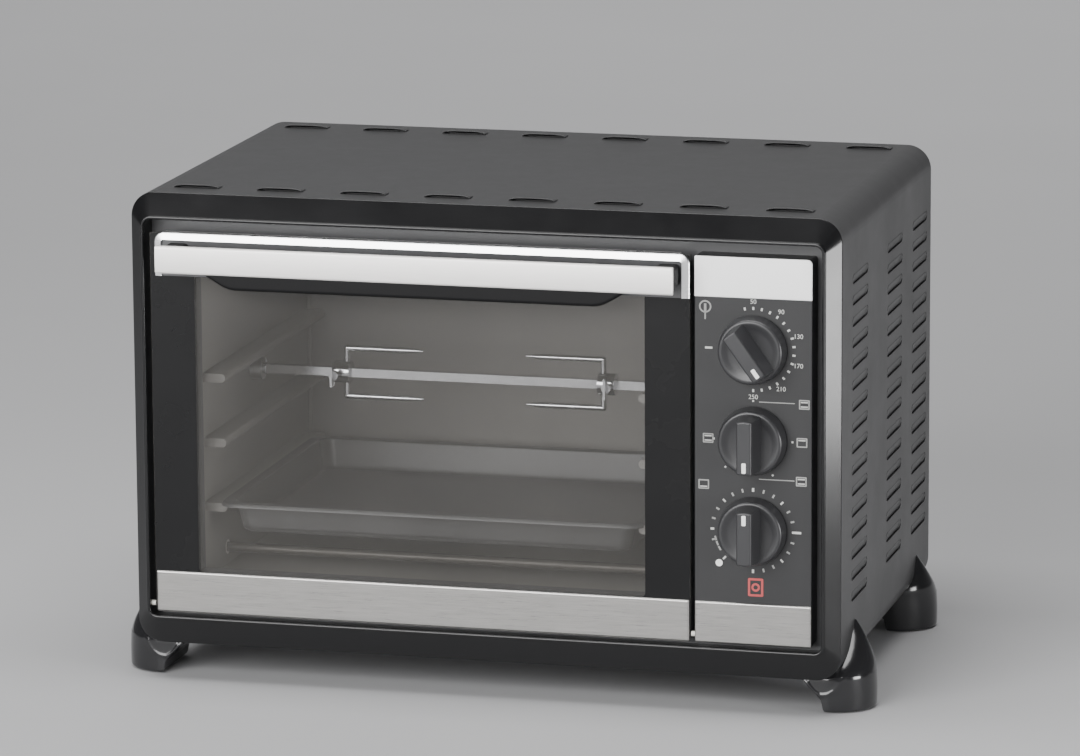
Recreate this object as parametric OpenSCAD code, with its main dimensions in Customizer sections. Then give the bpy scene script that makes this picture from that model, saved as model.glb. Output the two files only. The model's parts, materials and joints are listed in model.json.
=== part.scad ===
// Countertop rotisserie oven: a louvred sheet-metal housing on four claw feet,
// a drop-down glass door with a bar handle, and a control panel with three knobs.
// X runs to the right, Y to the back and Z up. The origin is on the floor,
// under the middle of the oven's overall box.

/* [Housing] */
// Width of the wrap, side to side
housing_w = 490; // [460:1:560]
// Height of the wrap, from its lower edge to its top
housing_h = 312.3; // [295:0.1:340]
// Depth of the wrap, front to back
housing_d = 299; // [280:1:340]
// Thickness of the wrap, pan and rear panel sheet
sheet = 0.8; // [0.6:0.1:1.2]
// Outer radius of the wrap's four corners
corner_r = 17; // [12:1:24]
// Height of the wrap's lower edge above the floor
foot_h = 25; // [20:1:32]
// Width that the wrap's lower edges fold in under the oven
under_fold = 6; // [4:0.5:12]
// Width of the flange that carries the rear panel
rear_flange = 10; // [8:1:14]

/* [Side louvres] */
// Length of one louvre slot
louvre_len = 50; // [36:1:54]
// Height of one louvre slot
louvre_slot = 7; // [4:0.5:8]
// Distance between louvre rows
louvre_pitch = 14.4; // [12:0.1:20]
// Distance from the wrap's front edge to the first column
louvre_front = 33; // [26:1:40]
// Distance from the wrap's rear edge to the last column
louvre_rear = 14; // [12:1:24]
// Distance from the top of the wrap to the first row
louvre_top = 46.7; // [40:0.1:60]
// Smallest distance from the lower edge to the last row
louvre_bottom = 42; // [38:1:60]

/* [Top vents] */
// Number of vent slots in a row
vent_count = 8; // [4:1:10]
// Distance between neighbouring vent slots
vent_pitch = 58.6; // [45:0.1:59]
// Length of one vent slot
vent_len = 29; // [20:1:40]
// Width of one vent slot
vent_w = 5; // [3:0.5:7]
// Distance of each row from the wrap's front or rear edge
vent_edge = 22; // [18:1:30]

/* [Rear panel and pan] */
// Length of a slot in the rear panel
rear_slot_len = 40; // [30:1:48]
// Width of a slot in the rear panel
rear_slot_w = 4; // [3:0.5:6]
// Distance between slot rows in the rear panel
rear_slot_pitch = 16; // [12:1:20]
// Distance between slot columns in the rear panel
rear_slot_step = 60; // [54:1:68]
// Number of slot rows in the rear panel
rear_slot_rows = 7; // [3:1:8]
// Distance from the top of the wrap to the first row of rear slots
rear_slot_top = 70; // [50:1:80]
// Length of a slot in the base pan
pan_slot_len = 36; // [24:1:44]
// Width of a slot in the base pan
pan_slot_w = 5; // [3:0.5:7]
// Distance between slots in the base pan
pan_slot_step = 56; // [50:1:60]
// Distance between slot rows in the base pan
pan_slot_pitch = 60; // [40:1:80]

/* [Cord gland] */
// Bore for the cord, on the radius
gland_bore = 3.7; // [3:0.1:4.5]
// Radius of the gland's collar
gland_r = 9; // [8:0.5:12]
// Radius of the gland's neck in the rear panel
gland_neck = 7; // [5.5:0.5:7.5]
// Distance that the collar stands out at the back
gland_out = 7; // [5:0.5:10]
// Length of the neck inside the rear panel
gland_seat = 6; // [4:0.5:10]
// Distance of the gland from the wrap's right side
gland_in = 45; // [35:1:60]
// Height of the gland above the wrap's lower edge
gland_up = 38; // [26:1:50]

/* [Fasteners] */
// Height of the lower rear screws above the wrap's lower edge
screw_low = 30; // [20:1:50]
// Distance of the upper rear screws from the top of the wrap
screw_high = 40; // [28:1:60]
// Radius of the housing screws
screw_r = 1.6; // [1.3:0.1:2]
// Radius of a housing screw's head
screw_head_r = 3.5; // [2.8:0.1:4.5]
// Height of a housing screw's head
screw_head_h = 2; // [1.5:0.1:3]
// Radius of the handle screws
handle_screw_r = 1.8; // [1.5:0.1:2]
// Radius of a handle screw's head
handle_head_r = 3.8; // [3.2:0.1:4.4]
// Height of a handle screw's head
handle_head_h = 2.6; // [2:0.1:3.2]
// Clearance around a screw, on the radius
screw_gap = 0.4; // [0.2:0.1:0.6]

/* [Front bezel] */
// Distance that the bezel stands in front of the wrap
bezel_d = 11; // [8:0.5:14]
// Sideways inset of the lip from the wrap's sides
bezel_side = 9; // [6:0.5:14]
// Inset of the lip from the top of the wrap
bezel_top = 14.7; // [10:0.1:20]
// Inset of the lip from the lower edge of the wrap
bezel_bottom = 20.9; // [12:0.1:26]
// Width of the lip's flat front face
lip_w = 2.5; // [2:0.5:4]
// Inner corner radius of the lip
lip_r = 5; // [3:0.5:8]
// Depth of the undercut behind the lower lip
lip_undercut = 2.5; // [2:0.5:4]

/* [Door] */
// Recess of the door and the panel behind the front of the lip
face_recess = 3; // [2:0.5:5]
// Gap between the door's left side and the lip
door_side_gap = 3.2; // [2:0.1:6]
// Gap between the door's lower edge and the lip
door_bottom_gap = 2.7; // [2.5:0.1:8]
// Gap between the door's top edge and the lip
door_top_gap = 8.5; // [6:0.5:12]
// Thickness of the brushed cover sheets
trim_sheet = 1; // [0.8:0.1:1.2]
// Height of the brushed strip under the window
strip_h = 28.4; // [24:0.1:36]
// Inset of the strip's ends from the door's sides
strip_in = 0.8; // [0:0.1:2]
// Depth of the strip's foot under the glass
strip_foot = 5; // [4:0.1:5]
// Thickness of the door glass
glass_t = 4; // [3:0.5:5]
// Depth of the inner frame behind the glass
inner_d = 11; // [10:0.5:14]
// Wall of the inner frame's sheet
inner_wall = 1; // [0.8:0.1:1.4]
// Distance from the door's sides to the inner frame
inner_side = 4; // [3:0.5:8]
// Width of the black border beside the window
window_border = 31; // [29:0.5:38]
// Distance from the door's top to the window
window_top = 24; // [20:1:34]
// Clearance between pieces that move past each other
move_gap = 0.5; // [0.4:0.1:0.8]

/* [Door hinge] */
// Height of the hinge axis above the door's lower edge
hinge_up = 7; // [6.6:0.1:7.4]
// Distance of the hinge axis behind the glass
hinge_back = 4; // [4:0.1:4.5]
// Radius of the hinge pins
hinge_pin_r = 2; // [1.5:0.1:2.2]
// Running clearance of pins and shafts, on the radius
run_gap = 0.05; // [0.02:0.01:0.08]
// Distance from the door's ends to the hinges
hinge_in = 22; // [16:1:30]
// Thickness of a hinge ear or lug
ear_t = 3; // [2:0.5:4]
// Width of a hinge bracket's flange
flange_w = 18; // [14:1:24]
// Height of a hinge bracket's flange
flange_h = 7; // [6:0.5:8]
// Thickness of a hinge bracket's flange
flange_t = 1.2; // [1:0.1:1.5]
// Radius of the bushes that centre the door at its lower corners
side_bush_r = 1.8; // [1.5:0.1:2.4]
// Height of the side bushes above the door's lower edge
side_bush_up = 5; // [4:0.5:8]

/* [Handle] */
// Height of the brushed handle face
handle_h = 18.6; // [14:0.1:24]
// Distance that the handle stands in front of the door
handle_out = 25; // [22:0.5:32]
// Inset of the handle from the door's left side
handle_in_l = 11.8; // [8:0.1:14]
// Inset of the handle from the door's right side
handle_in_r = 6; // [4:0.5:10]
// Distance from the door's top edge to the handle face
handle_drop = 5.4; // [5:0.1:12]
// Depth of the grip behind the face
grip_d = 11; // [8:0.5:12]
// Amount that the grip shows under the face
grip_drop = 11; // [6:0.5:12]
// Length of the posts that carry the handle, along its length
post_w = 16; // [12:1:22]
// Thickness of the handle face's rim where it folds over the grip
face_fold = 3.5; // [2.5:0.5:5]
// Length over which the grip's belly comes down
belly_ramp = 28; // [20:1:40]
// Distance from a post to the belly
belly_in = 10; // [6:1:20]
// Distance that the bright trim stands in front of the door
trim_out = 2; // [1:0.1:3]
// Inset of the bright trim from the door's left side
trim_in = 3.6; // [0:0.1:5]
// Distance from the handle face's lower edge to the trim's lower end
trim_drop = 6; // [2:0.5:8]
// Width of the bright trim line around the handle
trim_w = 3.6; // [3:0.1:5]
// Outer corner radius of the bright trim
trim_r = 7; // [5:0.5:9]

/* [Control panel] */
// Width of the control panel
panel_w = 79.5; // [70:0.5:92]
// Gap between the door and the panel
panel_gap = 3; // [2:0.5:5]
// Gap between the panel's right side and the lip
panel_side_gap = 7; // [4:0.5:9]
// Height of the bare nameplate
nameplate_h = 27.3; // [22:0.1:32]
// Corner radius of the control panel
panel_corner = 2; // [1:0.5:3]
// Corner radius of the nameplate
nameplate_corner = 3; // [1:0.5:5]
// Wall of the panel's moulding
panel_wall = 2; // [1.5:0.1:2.5]
// Distance between the knob axes
knob_pitch = 61.2; // [52:0.1:62]
// Distance from the panel's top to the first knob axis
knob_top = 61.5; // [58:0.1:66]

/* [Knobs] */
// Diameter of a knob's skirt
knob_d = 46; // [38:1:48]
// Height of a knob's skirt
skirt_h = 11; // [8:0.5:13]
// Height of the knob's front above the panel
knob_h = 28; // [24:0.5:30]
// Radius of the shoulder where the skirt meets its face
skirt_shoulder = 8; // [5:0.5:10]
// Amount that the skirt leans in up to its shoulder
skirt_lean = 1.2; // [0.5:0.1:2]
// Amount that the grip bar widens on each side at its root
bar_flare = 2.5; // [1:0.5:4]
// Bevel around the grip bar's front
bar_bevel = 1; // [0.5:0.1:2]
// Width of the grip bar at its front
bar_w = 10; // [8:0.5:12]
// Length of the grip bar
bar_len = 36; // [28:1:38]
// Depth that a shaft reaches into its control behind the front frame
shaft_reach = 12; // [8:0.5:16]
// Thickness of a knob's front over its shaft
knob_cap = 6; // [4:0.5:8]
// Radius of the knob shafts
shaft_r = 3; // [2.5:0.1:3.5]
// Gap between a knob and the panel
knob_gap = 1; // [0.6:0.1:1.5]
// Temperature pointer, degrees clockwise from twelve o'clock
temperature_at = 144; // [0:1:180]
// Function pointer, degrees clockwise from twelve o'clock
function_at = 180; // [0:90:180]
// Timer pointer, degrees clockwise from twelve o'clock
timer_at = 0; // [0:5:180]

/* [Control units] */
// Wall of the bushing around a shaft
bush_wall = 2; // [1.5:0.1:3]
// Depth of a control unit behind the front frame
control_d = 24; // [18:1:32]
// Width of the thermostat
thermostat_w = 40; // [32:1:44]
// Height of the thermostat
thermostat_h = 36; // [28:1:44]
// Radius of the function switch
switch_r = 19; // [15:0.5:22]
// Width and height of the timer
timer_w = 42; // [34:1:46]
// Radius of the timer's bell
bell_r = 17; // [12:0.5:20]
// Depth of the timer's bell
bell_d = 9; // [6:0.5:14]
// Length of the thermostat's bulb
bulb_len = 70; // [50:1:90]
// Radius of the thermostat's bulb
bulb_r = 2.5; // [2:0.1:4]
// Distance of the bulb below the cavity roof
bulb_drop = 34; // [28:1:40]
// Distance from the bulb's end to the cavity's back
bulb_rear = 20; // [12:1:30]
// Distance of the bulb's axis from the cavity's right wall
bulb_side = 4; // [3.5:0.1:5]
// Distance of the bulb's clips from its ends
clip_in = 12; // [8:1:20]
// Width of a bulb clip
clip_w = 4; // [3:0.5:6]
// Length of the terminal block
terminal_len = 44; // [38:1:60]
// Width of the terminal block
terminal_w = 18; // [14:1:24]
// Height of the terminal block
terminal_h = 14; // [10:1:20]
// Radius of a terminal's well
terminal_r = 2.6; // [2:0.1:3.5]

/* [Cavity] */
// Distance from the door's left side to the cavity
cavity_side = 26.5; // [24:0.5:28]
// Distance from the door's lower edge to the cavity floor
cavity_bottom = 16; // [15:0.5:22]
// Distance from the door's top edge to the cavity roof
cavity_top = 9; // [8:0.5:14]
// Distance from the wrap's rear edge to the cavity's back
cavity_rear = 29; // [24:1:50]
// Thickness of the cavity's steel
cavity_t = 0.8; // [0.6:0.1:1.2]
// Thickness of the front frame plate
frame_t = 1.2; // [1:0.1:1.5]

/* [Tray and guides] */
// Height of the lowest guide above the cavity floor
guide_z = 54.5; // [50:0.5:62]
// Distance between guide levels
guide_pitch = 45; // [38:1:46]
// Number of guide levels
guide_count = 3; // [2:1:3]
// Distance that the guides stand out from the walls
guide_out = 16; // [14:0.5:18]
// Distance of the guides from the cavity's front and back
guide_end = 12; // [10:1:20]
// Thickness of a guide
guide_t = 6; // [4:0.5:7]
// Clearance beside the tray's rim
tray_gap = 11; // [9:0.5:12]
// Depth of the baking tray
tray_h = 22; // [16:1:26]
// Thickness of the tray's steel
tray_t = 1; // [0.8:0.1:1.2]
// Corner radius of the tray's pan
tray_corner = 8; // [6:0.5:12]
// Width of the tray's rim
tray_rim = 9; // [8:0.5:10]
// Distance of the tray behind the front frame
tray_in = 5.3; // [4:0.1:8]
// Length of the tray, front to back
tray_len = 228; // [180:1:232]

/* [Rotisserie] */
// Height of the spit axis above the cavity floor
spit_z = 126; // [123:0.5:128]
// Distance of the spit axis behind the front frame
spit_y = 126; // [110:1:130]
// Width of the square spit rod
spit_w = 6; // [5:0.1:7]
// Radius of the rod's round end
journal_r = 4; // [3.5:0.1:4.5]
// Length of the fork tines
tine_len = 55; // [40:1:70]
// Distance of the tines from the spit axis
tine_out = 17; // [14:0.5:20]
// Distance between the forks' hubs
fork_span = 190; // [170:1:220]
// Radius of a tine
tine_r = 2; // [1.5:0.1:2.5]
// Length of a fork's hub
hub_len = 12; // [10:0.5:16]
// Wall of a fork's hub at the rod's corners
hub_wall = 3.5; // [2.5:0.1:5]
// Distance of a fork's thumb screw from the hub's middle
thumb_in = 2.5; // [2:0.1:3]
// Distance of the rod's square end from the cavity's right wall
spit_end = 4; // [3:0.5:6]
// Radius of a fork's thumb screw
thumb_r = 1.6; // [1.3:0.1:2]
// Length of the socket that drives the rod
socket_len = 16; // [12:0.5:20]
// Wall of the socket at the rod's corners
socket_wall = 2.2; // [1.6:0.1:3]
// Width of the cradle that carries the rod's round end
cradle_w = 8; // [6:0.5:10]
// Wall of the cradle around the rod's round end
cradle_wall = 4; // [3:0.5:5]
// Radius of the spit motor
motor_r = 25; // [20:0.5:30]
// Length of the spit motor, with its neck
motor_len = 32; // [26:1:40]

/* [Heating] */
// Radius of a heating element
heater_r = 3.3; // [3:0.1:4]
// Distance of the elements from the roof or the floor
heater_off = 12; // [10:0.5:14]
// Distance of the front and rear elements from the middle
heater_half = 68; // [60:1:75]

/* [Heater ends] */
// Wall of a ceramic bush around an element
bushing_wall = 1.7; // [1.3:0.1:2.5]
// Length of a ceramic bush outside the cavity
bushing_len = 6; // [4:0.5:8]
// Width of a ceramic bush's collar
bushing_collar = 2; // [1.5:0.1:3]
// Length of an element's terminal pin
pin_len = 9; // [6:0.5:12]
// Radius of an element's terminal pin
pin_r = 1.5; // [1:0.1:2]

/* [Feet] */
// Distance that a foot stands out past the wrap
foot_out = 17; // [14:0.5:22]
// Distance that a foot reaches in under the pan at the floor
foot_in = 13.5; // [12:0.5:18]
// Distance that a foot spreads further in, up under the pan
foot_spread = 16.5; // [8:0.5:24]
// Length of a foot at the floor
foot_len = 54; // [44:1:66]
// Distance from the wrap's front or rear edge to a foot's middle
foot_mid = 35; // [30:1:45]
// Distance that the rear feet sit further in than the front ones
rear_foot_in = 4; // [0:0.5:6]
// Height that a foot's cheek climbs up the wrap
cheek_h = 32; // [20:1:36]
// Distance from a foot's middle back to the top of its cheek
cheek_back = 9.5; // [4:0.5:14]
// Gap between a foot and the wrap that it hugs, and around its pad
foot_gap = 0.06; // [0.04:0.01:0.1]
// Radius of the rubber pads
pad_r = 9; // [7:0.5:11]
// Thickness of the rubber pads
pad_t = 4; // [3:0.5:6]
// Amount that the pads stand below the feet
pad_out = 1; // [0.6:0.1:2]

/* [Hidden] */
$fn = 48;
eps = 0.01;
// Places that follow from the sizes above. Y is 0 at the wrap's front edge
// until set_back() moves a piece to the origin under the oven's middle.
half_w = housing_w / 2;
top_z = foot_h + housing_h;
lip_y = -bezel_d;
face_y = lip_y + face_recess;
open_l = -half_w + bezel_side + lip_w;
open_r = -open_l;
open_z0 = foot_h + bezel_bottom;
open_z1 = top_z - bezel_top - lip_w;
door_l = open_l + door_side_gap;
door_z0 = open_z0 + door_bottom_gap;
door_z1 = open_z1 - door_top_gap;
panel_r = open_r - panel_side_gap;
panel_l = panel_r - panel_w;
door_r = panel_l - panel_gap;
glass_y = face_y + trim_sheet;
glass_back = glass_y + glass_t;
inner_back = glass_back + inner_d;
plate_y = inner_back + move_gap;
plate_back = plate_y + frame_t;
hinge_y = glass_back + hinge_back;
hinge_z = door_z0 + hinge_up;
ear_r = hinge_back - move_gap;
lug_r = hinge_back;
inner_l = door_l + inner_side;
inner_r = door_r - inner_side;
inner_z0 = hinge_z + lug_r + 4 * move_gap;
inner_z1 = door_z1 - inner_side;
window_l = door_l + window_border;
window_r = door_r - window_border;
window_z0 = door_z0 + strip_h;
window_z1 = door_z1 - window_top;
cavity_l = door_l + cavity_side;
cavity_r = door_r - cavity_side;
cavity_mid = (cavity_l + cavity_r) / 2;
cavity_z0 = door_z0 + cavity_bottom;
cavity_z1 = door_z1 - cavity_top;
cavity_back_y = housing_d - cavity_rear;
panel_x = (panel_l + panel_r) / 2;
panel_z1 = door_z1 - 1;
knob_z = [for (i = [0:2]) panel_z1 - knob_top - i * knob_pitch];
handle_l = door_l + handle_in_l;
handle_r = door_r - handle_in_r;
handle_z1 = door_z1 - handle_drop;
handle_z0 = handle_z1 - handle_h;
handle_y = face_y - handle_out;
grip_back = handle_y + trim_sheet + grip_d;
post_z = (handle_z0 + handle_z1) / 2;
trim_l = door_l + trim_in;
trim_z0 = handle_z0 - trim_drop;
shaft_back = plate_back + shaft_reach;
bush_r = shaft_r + bush_wall;
spit_axis_z = cavity_z0 + spit_z;
spit_axis_y = plate_back + spit_y;
guide_tops = [for (i = [0:guide_count - 1]) cavity_z0 + guide_z + i * guide_pitch];
rim_z = guide_tops[0] + 0.3;
tray_l = cavity_l + tray_gap;
tray_r = cavity_r - tray_gap;
tray_y = plate_back + tray_in;
heater_y = (plate_back + cavity_back_y) / 2;
bushing_r = heater_r + bushing_wall;
rod_corner = spit_w / 2 * sqrt(2);
socket_r = rod_corner + socket_wall;
hub_r = rod_corner + hub_wall;
gland_x = half_w - gland_in;
gland_z = foot_h + gland_up;
pad_x = half_w + (foot_out - foot_in) / 2;
pad_y = foot_mid;
// Thickness of one level of a claw.
level_t = 0.2;
pan_half = half_w - corner_r - under_fold;
knob_front = face_y - knob_h;
front_most = min(knob_front, handle_y);
origin_y = (front_most + housing_d + gland_out) / 2;
louvre_rows = floor((housing_h - louvre_top - louvre_bottom) / louvre_pitch);
louvre_at = [louvre_front, housing_d / 2 - 1, housing_d - louvre_rear - louvre_len];

// ---- helpers ----

// Moves a piece from the wrap's front edge to the origin under the oven's middle.
module set_back() {
  translate([0, -origin_y, 0]) children();
}

// A box given by its low and high corners.
module block(lo, hi) {
  translate(lo) cube([hi[0] - lo[0], hi[1] - lo[1], hi[2] - lo[2]]);
}

// A cylinder from y0 to y1 along Y.
module rod_y(x, z, r, y0, y1) {
  translate([x, y1, z]) rotate([90, 0, 0]) cylinder(h = y1 - y0, r = r);
}

// A cylinder from x0 to x1 along X.
module rod_x(y, z, r, x0, x1) {
  translate([x0, y, z]) rotate([0, 90, 0]) cylinder(h = x1 - x0, r = r);
}

// A flat shape drawn in X and Z, extruded from y0 to y1.
module plate_xz(y0, y1) {
  translate([0, y1, 0]) rotate([90, 0, 0]) linear_extrude(y1 - y0) children();
}

// A rectangle with round corners, given by its low and high corners.
module round_rect(lo, hi, r) {
  translate([lo[0] + r, lo[1]]) square([hi[0] - lo[0] - 2 * r, hi[1] - lo[1]]);
  translate([lo[0], lo[1] + r]) square([hi[0] - lo[0], hi[1] - lo[1] - 2 * r]);
  for (x = [lo[0] + r, hi[0] - r], y = [lo[1] + r, hi[1] - r]) translate([x, y]) circle(r);
}

// A rectangle whose top corners alone are round, given by its low and high corners.
module arch_rect(lo, hi, r) {
  translate([lo[0], lo[1]]) square([hi[0] - lo[0], hi[1] - lo[1] - r]);
  translate([lo[0] + r, lo[1]]) square([hi[0] - lo[0] - 2 * r, hi[1] - lo[1]]);
  for (x = [lo[0] + r, hi[0] - r]) translate([x, hi[1] - r]) circle(r);
}

// The wrap's outline, moved inwards by t.
module wrap_outline(t) {
  round_rect([-half_w + t, foot_h + t], [half_w - t, top_z - t], corner_r - t);
}

// A slot with round ends, w long and d wide, along X.
module slot(w, d) {
  square([w - d, d], center = true);
  for (s = [-1, 1]) translate([s * (w - d) / 2, 0]) circle(d / 2);
}

// ---- housing ----

module louvre_cuts() {
  for (row = [0:louvre_rows], y = louvre_at) {
    z = top_z - louvre_top - row * louvre_pitch;
    translate([-half_w - 1, y + louvre_len / 2, z]) rotate([90, 0, 90])
      linear_extrude(housing_w + 2) slot(louvre_len, louvre_slot);
  }
}

module vent_cuts() {
  for (i = [0:vent_count - 1], y = [vent_edge, housing_d - vent_edge])
    translate([(i - (vent_count - 1) / 2) * vent_pitch, y, top_z - 2 * sheet])
      linear_extrude(3 * sheet) slot(vent_len, vent_w);
}

module housing_wrap() {
  color("#3a3a3c") set_back() {
    difference() {
      plate_xz(0, housing_d) wrap_outline(0);
      plate_xz(-1, housing_d - 2 * sheet) wrap_outline(sheet);
      plate_xz(housing_d - 2 * sheet - 1, housing_d + 1) wrap_outline(sheet + rear_flange);
      plate_xz(housing_d - sheet, housing_d + 1) wrap_outline(sheet);
      block([-pan_half, -1, foot_h - 1], [pan_half, housing_d + 1, foot_h + sheet]);
      louvre_cuts();
      vent_cuts();
      for (p = screw_spots()) rod_y(p[0], p[1], screw_r, housing_d - 4 * sheet, housing_d);
    }
  }
}

// The chamfered block that the bezel is cut from: full size at the wrap, smaller at the lip.
module bezel_block() {
  hull() {
    plate_xz(-eps, 0) round_rect([-half_w, foot_h], [half_w, top_z], corner_r, $fn = 32);
    plate_xz(lip_y, lip_y + 2)
      round_rect([-half_w + bezel_side, foot_h + bezel_bottom - lip_w],
                 [half_w - bezel_side, top_z - bezel_top], lip_r + lip_w, $fn = 32);
  }
}

module front_bezel() {
  color("#2c2c2e") set_back() difference() {
    union() {
      bezel_block();
      plate_xz(-eps, plate_y) wrap_outline(sheet);
    }
    plate_xz(lip_y - 1, plate_y + 1) round_rect([open_l, open_z0], [open_r, open_z1], lip_r);
    block([open_l, face_y - 0.5, open_z0 - lip_undercut], [open_r, plate_y + 1, open_z0 + lip_r]);
  }
}

module front_frame() {
  color("#4a4a4c") set_back() difference() {
    plate_xz(plate_y, plate_back) difference() {
      wrap_outline(sheet);
      translate([cavity_l, cavity_z0]) square([cavity_r - cavity_l, cavity_z1 - cavity_z0]);
    }
    for (z = knob_z) rod_y(panel_x, z, bush_r, plate_y - 1, plate_back + 1);
  }
}

module rear_panel() {
  color("#48484a") set_back() difference() {
    plate_xz(housing_d - sheet, housing_d) difference() {
      wrap_outline(sheet);
      for (row = [0:rear_slot_rows - 1], x = [-2:2])
        translate([x * rear_slot_step, top_z - rear_slot_top - row * rear_slot_pitch])
          slot(rear_slot_len, rear_slot_w);
    }
    rod_y(gland_x, gland_z, gland_neck, housing_d - 2 * sheet, housing_d + 1);
    for (p = screw_spots()) rod_y(p[0], p[1], screw_r, housing_d - 2 * sheet, housing_d + 1);
  }
}

module base_pan() {
  color("#48484a") set_back() difference() {
    block([-pan_half, 0, foot_h], [pan_half, housing_d, foot_h + sheet]);
    for (x = [-3:3], row = [-1:1])
      translate([x * pan_slot_step, housing_d / 2 + row * pan_slot_pitch, foot_h - 1])
        linear_extrude(sheet + 2) slot(pan_slot_len, pan_slot_w);
  }
}

// Places of the rear screws on the flange.
function screw_spots() = [
  for (x = [-1, 1], z = [foot_h + screw_low, top_z - screw_high])
    [x * (half_w - sheet - rear_flange / 2), z]
];

module housing_screws() {
  color("#b8b8ba") set_back() for (p = screw_spots()) {
    rod_y(p[0], p[1], screw_head_r, housing_d, housing_d + screw_head_h);
    rod_y(p[0], p[1], screw_r, housing_d - 8 * sheet, housing_d + eps);
  }
}

// ---- feet ----

// One level of the claw, for the front right foot: straight on the inner side,
// half an ellipse on the outer side.
module claw_level(z, inner, out, y_mid, half_len) {
  root = max(inner, -foot_in);
  arc = [for (a = [-90:15:90]) [half_w + root + (out - root) * cos(a), y_mid + half_len * sin(a)]];
  translate([0, 0, z]) linear_extrude(level_t)
    polygon(concat([[half_w + inner, y_mid - half_len]], arc, [[half_w + inner, y_mid + half_len]]));
}

// The claw before the housing is cut away from it: upright from the floor to the
// pan, spreading in under the pan, and domed above it into a cheek. Each level has
// its height, its inner side and outer end against the wrap's side, the shift of
// its middle towards the oven's middle, and half of its length.
module claw_body() {
  half = foot_len / 2;
  levels = [
    [pad_out, -foot_in, foot_out - 1, 0, half - 1],
    [pad_out + 1.5, -foot_in, foot_out, 0, half],
    [foot_h * 0.35, -foot_in - foot_spread * 0.1, foot_out + 0.2, 0, half],
    [foot_h * 0.6, -foot_in - foot_spread * 0.4, foot_out + 0.2, 0, half],
    [foot_h * 0.97, -foot_in - foot_spread, foot_out - 0.3, 0, half],
    [foot_h + cheek_h * 0.2, -foot_in - foot_spread, foot_out * 0.91, cheek_back * 0.3, half * 0.9],
    [foot_h + cheek_h * 0.4, -foot_in, foot_out * 0.74, cheek_back * 0.5, half * 0.68],
    [foot_h + cheek_h * 0.6, -foot_in, foot_out * 0.56, cheek_back * 0.7, half * 0.45],
    [foot_h + cheek_h * 0.8, -foot_in, foot_out * 0.33, cheek_back * 0.9, half * 0.26],
    [foot_h + cheek_h - level_t, -foot_in, foot_out * 0.06, cheek_back, half * 0.1]
  ];
  for (i = [0:len(levels) - 2]) hull() for (k = [i, i + 1])
    claw_level(levels[k][0], levels[k][1], levels[k][2], foot_mid + levels[k][3], levels[k][4]);
}

// The claw, moved in by a distance, with the housing and the pad's socket cut away.
module claw(move_in) {
  difference() {
    translate([-move_in, 0, 0]) claw_body();
    plate_xz(-1, 2 * foot_mid + foot_len) wrap_outline(-foot_gap);
    translate([pad_x - move_in, pad_y, -1]) cylinder(h = pad_t + 1, r = pad_r + foot_gap);
  }
}

// Mirrors a piece to one corner: side is -1 for left, back is true for the rear.
module at_corner(side, back) {
  mirror([side < 0 ? 1 : 0, 0, 0])
    translate([0, back ? housing_d : 0, 0]) mirror([0, back ? 1 : 0, 0]) children();
}

module foot_front_left() {
  color("#1d1d1f") set_back() at_corner(-1, false) claw(0);
}

module foot_front_right() {
  color("#1d1d1f") set_back() at_corner(1, false) claw(0);
}

module foot_rear_left() {
  color("#1d1d1f") set_back() at_corner(-1, true) claw(rear_foot_in);
}

module foot_rear_right() {
  color("#1d1d1f") set_back() at_corner(1, true) claw(rear_foot_in);
}

module foot_pads() {
  color("#141414") set_back() for (side = [-1, 1], back = [false, true])
    at_corner(side, back) translate([pad_x - (back ? rear_foot_in : 0), pad_y, 0])
      cylinder(h = pad_t, r = pad_r);
}

// ---- cavity ----

// One side wall with its guides. into is 1 for the left wall and -1 for the right one.
module side_wall(x, into) {
  difference() {
    union() {
      block([min(x, x - into * cavity_t), plate_back, cavity_z0 - cavity_t],
            [max(x, x - into * cavity_t), cavity_back_y, cavity_z1 + cavity_t]);
      for (z = guide_tops) {
        nose = guide_out - guide_t / 2;
        block([min(x, x + into * nose), plate_back + guide_end, z - guide_t],
              [max(x, x + into * nose), cavity_back_y - guide_end, z]);
        translate([x + into * nose, plate_back + guide_end, z - guide_t / 2]) rotate([-90, 0, 0])
          cylinder(h = cavity_back_y - plate_back - 2 * guide_end, r = guide_t / 2);
      }
    }
    for (z = heater_heights(), y = heater_rows())
      rod_x(y, z, bushing_r, x - 2, x + 2);
    if (into < 0) rod_x(spit_axis_y, spit_axis_z, journal_r + 1.5, x - 2, x + 2);
  }
}

module cavity_left_wall() {
  color("#8f8f90") set_back() side_wall(cavity_l, 1);
}

module cavity_right_wall() {
  color("#8f8f90") set_back() side_wall(cavity_r, -1);
}

module cavity_back() {
  color("#8f8f90") set_back()
    block([cavity_l - cavity_t, cavity_back_y, cavity_z0 - cavity_t],
          [cavity_r + cavity_t, cavity_back_y + cavity_t, cavity_z1 + cavity_t]);
}

module cavity_top() {
  color("#8f8f90") set_back()
    block([cavity_l, plate_back, cavity_z1], [cavity_r, cavity_back_y, cavity_z1 + cavity_t]);
}

module cavity_floor() {
  color("#8f8f90") set_back()
    block([cavity_l, plate_back, cavity_z0 - cavity_t], [cavity_r, cavity_back_y, cavity_z0]);
}

// ---- heating ----

function heater_heights() = [cavity_z0 + heater_off, cavity_z1 - heater_off];
function heater_rows() = [heater_y - heater_half, heater_y + heater_half];

module heater(row, level) {
  y = heater_rows()[row];
  z = heater_heights()[level];
  color("#6d6a66") set_back() {
    end = bushing_len + 3;
    rod_x(y, z, heater_r, cavity_l - end, cavity_r + end);
    rod_x(y, z, pin_r, cavity_l - end - pin_len, cavity_r + end + pin_len);
  }
}

module heater_upper_front() {
  heater(0, 1);
}

module heater_upper_rear() {
  heater(1, 1);
}

module heater_lower_front() {
  heater(0, 0);
}

module heater_lower_rear() {
  heater(1, 0);
}

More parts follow.
